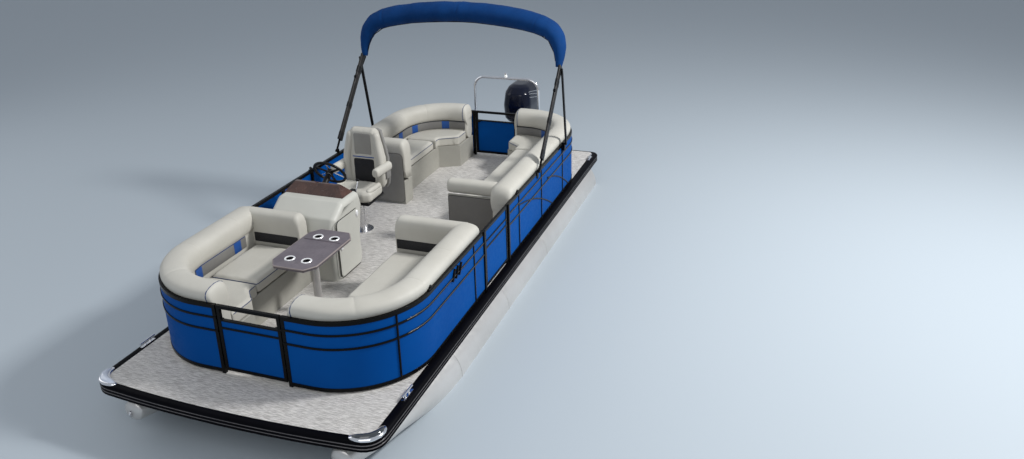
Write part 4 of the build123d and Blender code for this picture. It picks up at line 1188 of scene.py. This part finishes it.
console = {
    "sideY": -0.2015, "door": (0.735, 1.112, 0.478, 1.082), "doorCorner": 0.06,
    # of each latch: x, z, half its height; of each gauge: y and radius
    "latches": ((0.728, 1.025, 0.036), (1.062, 0.79, 0.024)),
    "gauges": ((-0.80, 0.040), (-0.70, 0.040), (-0.48, 0.028), (-0.41, 0.028)),
    "gaugeX": 0.678, "gaugeZ": 1.262, "gaugeLean": 40,
}
door = [(x, console["sideY"], z) for x, z, flat in rectangle(*console["door"])]
cord("console_door_seal", roundCorners(door, console["doorCorner"], closed=False), 0.004,
     "gripBlack", upright=False)
for number, (x, z, tall) in enumerate(console["latches"]):
    ball(f"console_latch_{number}", (x, -0.198, z), (0.021, 0.014, tall), "ringSteel",
         "console_door")
for number, (y, radius) in enumerate(console["gauges"]):
    origin = Vector((console["gaugeX"], y, console["gaugeZ"]))
    rim = ((0.84, 0.006), (0.9, 0.011), (1, 0.008), (1.02, 0))
    face = ((0, 0.006), (0.9, 0.006), (0.9, 0))
    for part, outline, look in (("rim", rim, "polishedMetal"), ("face", face, "smokedLens")):
        lathe(f"gauge_{part}_{number}", [(radius * share, lift) for share, lift in outline],
              origin, leaning(console["gaugeLean"]), look)

wheel = {
    "middle": Vector((0.500, chairMiddle, 1.332)), "axis": leaning(35),
    "spokes": (90, 210, 330), "spoke": ((0.03, 0.016), (0.166, 0.008)),    # out, raised
    "column": ((0.036, 0.0), (0.032, 0.02), (0.030, 0.13), (0.030, 0.135)), "columnBelow": 0.165,
    "boss": ((0, 0.030), (0.020, 0.028), (0.034, 0.018), (0.038, 0)),
}
across = Vector((0, 1, 0))
up = wheel["axis"].cross(across).normalized()
for number, turn in enumerate(wheel["spokes"]):
    bend = math.radians(turn)
    away = across * math.cos(bend) - up * math.sin(bend)
    spoke = [wheel["middle"] + away * out + wheel["axis"] * lift for out, lift in wheel["spoke"]]
    sweep(f"wheel_spoke_{number}", steady(spoke), bar(0.020, 0.006, 0.002), "brushedMetal",
          "steering_wheel", upright=False, soft=False)
lathe("steering_column", wheel["column"], wheel["middle"] - wheel["axis"] * wheel["columnBelow"],
      wheel["axis"], "gripBlack")
lathe("wheel_boss", wheel["boss"], wheel["middle"], wheel["axis"], "gripBlack", "steering_wheel")

throttle = {
    "box": ((0.560, -0.335, 1.150), (0.625, -0.275, 1.215)),
    "lever": ((0.585, -0.268, 1.200), (0.565, -0.262, 1.25), (0.545, -0.262, 1.29)),
    "grip": ((0.542, -0.266, 1.300), (0.013, 0.022, 0.015)),
}
block("throttle_box", *throttle["box"], "gripBlack", edge=0.012)
cord("throttle_lever", throttle["lever"], 0.006, "polishedMetal", count=12, upright=False)
ball("throttle_grip", *throttle["grip"], "gripBlack")
print("helm is modelled")


# Table: cup rings, a lighter bead round the rim that is a painted highlight, and the raised line
# across its far end

table = {
    "middle": Vector((1.64, -0.13, 1.070)),
    "cups": ((0.2325, 0.085), (0.2325, -0.085), (-0.2325, 0.085), (-0.2325, -0.085)),
    "ring": ((0.034, -0.002), (0.034, 0.003), (0.038, 0.005), (0.046, 0.005), (0.051, -0.002)),
    "liner": ((0, -0.028), (0.0345, -0.028), (0.0345, 0.0025)),
    "corners": ((0.39, 0.15), (0.29, 0.22), (-0.29, 0.22), (-0.39, 0.15),
                (-0.39, -0.15), (-0.29, -0.22), (0.29, -0.22), (0.39, -0.15)),
}
for number, (x, y) in enumerate(table["cups"]):
    middle = table["middle"] + Vector((x, y, 0))
    lathe(f"cup_ring_{number}", table["ring"], middle, (0, 0, 1), "ringSteel", "table_top")
    lathe(f"cup_liner_{number}", table["liner"], middle, (0, 0, 1), "gripBlack", "table_top")
# a lighter bead round the top edge: painted highlight standing for the light its bevel catches
rim = [table["middle"] + Vector((x, y, -0.0075)) for x, y in table["corners"]]
cord("table_rim_painted_highlight", roundCorners(rim, 0.03), 0.0075, "tableRimPaintedHighlight", "table_top", 10, closed=True)
ridge = [table["middle"] + Vector((-0.165, y, 0.001)) for y in (-0.19, 0.19)]
sweep("table_ridge", stations(ridge, nose=(0.02, 0.02), low=0.3), ring(0.006, 12), "tableTaupe",
      "table_top")


# Folding top: canvas boot, knuckles and sleeves

bootHeld = {
    # from the middle outwards and up from the foot, on one side
    "line": ((1.236, -0.032), (1.243, 0.08), (1.230, 0.19), (1.190, 0.300), (1.110, 0.385),
             (0.970, 0.440), (0.80, 0.478), (0.58, 0.510), (0.30, 0.536), (0.0, 0.546)),
    # distance from the nearer end, share of the full girth
    "girth": ((0.0, 0.28), (0.12, 0.44), (0.26, 0.68), (0.42, 0.86), (0.60, 0.96), (0.80, 1.0)),
    "foot": Vector((-1.53, 0, 2.09)), "lean": 15, "half": (0.116, 0.156), "seam": 0.62,
    "creases": ((7, 0.045), (23, 0.02)),    # how fine, how deep
}
bootLine = list(bootHeld["line"])
bootLine += [(-y, height) for y, height in reversed(bootLine[:-1])]
lean = math.radians(bootHeld["lean"])
bootUp = Vector((-math.sin(lean), 0, math.cos(lean)))
arch = [bootHeld["foot"] + Vector((0, -y, 0)) + bootUp * height for y, height in bootLine]
whole = lengths(arch)[-1]
seams = (bootHeld["seam"], whole / 2, whole - bootHeld["seam"])
bootPath = []
walked = 0.0
for place, swell in stations(arch, seams, 0.97, step=0.03):
    if bootPath:
        walked += (place - bootPath[-1][0]).length
    (girth,) = between(bootHeld["girth"], min(walked, whole - walked))
    crease = sum(noise.noise(place * fine) * deep for fine, deep in bootHeld["creases"])
    bootPath.append((place, swell * girth * (1 + crease)))
wide, tall = bootHeld["half"]
bootShape = [(wide * math.cos(i * math.pi / 12), tall * math.sin(i * math.pi / 12))
             for i in range(24)]
boot = sweep("top_boot_canvas", bootPath, bootShape, "bootCanvas", "top_frame", upright=False,
             angle=80)
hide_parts("top_boot")
aim = bootHeld["foot"] + bootUp * 0.1
inner = [place + (aim - place).normalized() * 0.2 for place in arch]
zipLine = onSurface(boot, inner)
sweep("top_boot_zip", stations(zipLine, start=0.03, stop=lengths(zipLine)[-1] - 0.03),
      ring(0.006, 8), "gripBlack", "top_frame", upright=False)

leg = {
    "y": 1.257, "mount": (-0.70, 1.10), "knee": (-1.53, 2.09), "clear": (0.16, 0.02),
    "sleeves": ((0.14, 0.10, 0.086), (0.56, 0.06, 0.090), (1.02, 0.08, 0.092)),
    "knuckle": (-1.262, 1.766), "knuckleHalf": (0.036, 0.0145, 0.046),
    "strutInset": (0.013, 0.009),    # of the bright rail from the strut's ends and outside
}
strutLow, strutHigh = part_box("top_frame_struts")
for side, label in bothSides:
    y = side * leg["y"]
    mount, knee, knuckle = [Vector((leg[part][0], y, leg[part][1]))
                            for part in ("mount", "knee", "knuckle")]
    along = (knee - mount).normalized()
    first, last = leg["clear"]
    # the leg's bar: near black, with a painted sheen in its lighter, browner tint
    sweep(f"{label}_leg_rail", steady([mount + along * first, knee - along * last]),
          bar(0.028, 0.080, 0.008), "legDarkPaintedSheen", "top_frame", soft=False)
    for number, (at, length, tall) in enumerate(leg["sleeves"]):
        first = mount + along * at
        sweep(f"{label}_leg_sleeve_{number}", steady([first, first + along * length]),
              bar(0.031, tall, 0.008), "gripBlack", "top_frame", soft=False)
    end, under = leg["strutInset"]
    strut = [Vector((strutLow.x + end, side * strutHigh.y, strutLow.z + end)),
             Vector((strutHigh.x - end, side * strutHigh.y, strutHigh.z - end))]
    strut = stations(moved(strut, y=-side * under), nose=(0.05, 0.05), low=0.5, step=0.2)
    sweep(f"{label}_strut_rail", strut, bar(0.018, 0.052, 0.008), "blackFrame", "top_struts",
          soft=False)
    ball(f"{label}_top_knuckle", knuckle, leg["knuckleHalf"], "gripBlack", "top_frame")


# Stern and tubes: tow arch lamp, cowl stripes, welds and the tips of the noses

cowlStripes = {
    "from": -4.0, "run": 0.44, "y": 0.26,
    "rows": ((0.98, 0.10), (1.02, 0.12), (1.06, 0.14)),    # height of the aft end, rise
}
ball("tow_arch_lamp", (-3.13, 0, 1.478), (0.022, 0.022, 0.030), "whiteLens")
for side, label in bothSides:
    for number, (z, rise) in enumerate(cowlStripes["rows"]):
        line = [(cowlStripes["from"] + cowlStripes["run"] * i / 10, side * cowlStripes["y"],
                 z + rise * i / 10) for i in range(11)]
        cord(f"cowl_{label}_stripe_{number}", onSurface(cowl, line), 0.005, "brushedMetal",
             "outboard")
for side, label in reversed(bothSides):
    for number, x in enumerate(tube["welds"]):
        hoop = [(x, side * tube["y"] + tube["radius"] * math.cos(i * math.pi / 24),
                 tube["z"] + tube["radius"] * math.sin(i * math.pi / 24)) for i in range(48)]
        cord(f"{label}_tube_weld_{number}", hoop, 0.005, "millAluminium", closed=True,
             upright=False)
    ball(f"{label}_tube_tip", (tube["tip"][0], side * tube["y"], tube["tip"][1]),
         tube["tipHalf"], "millAluminium")
print("top and stern are modelled")
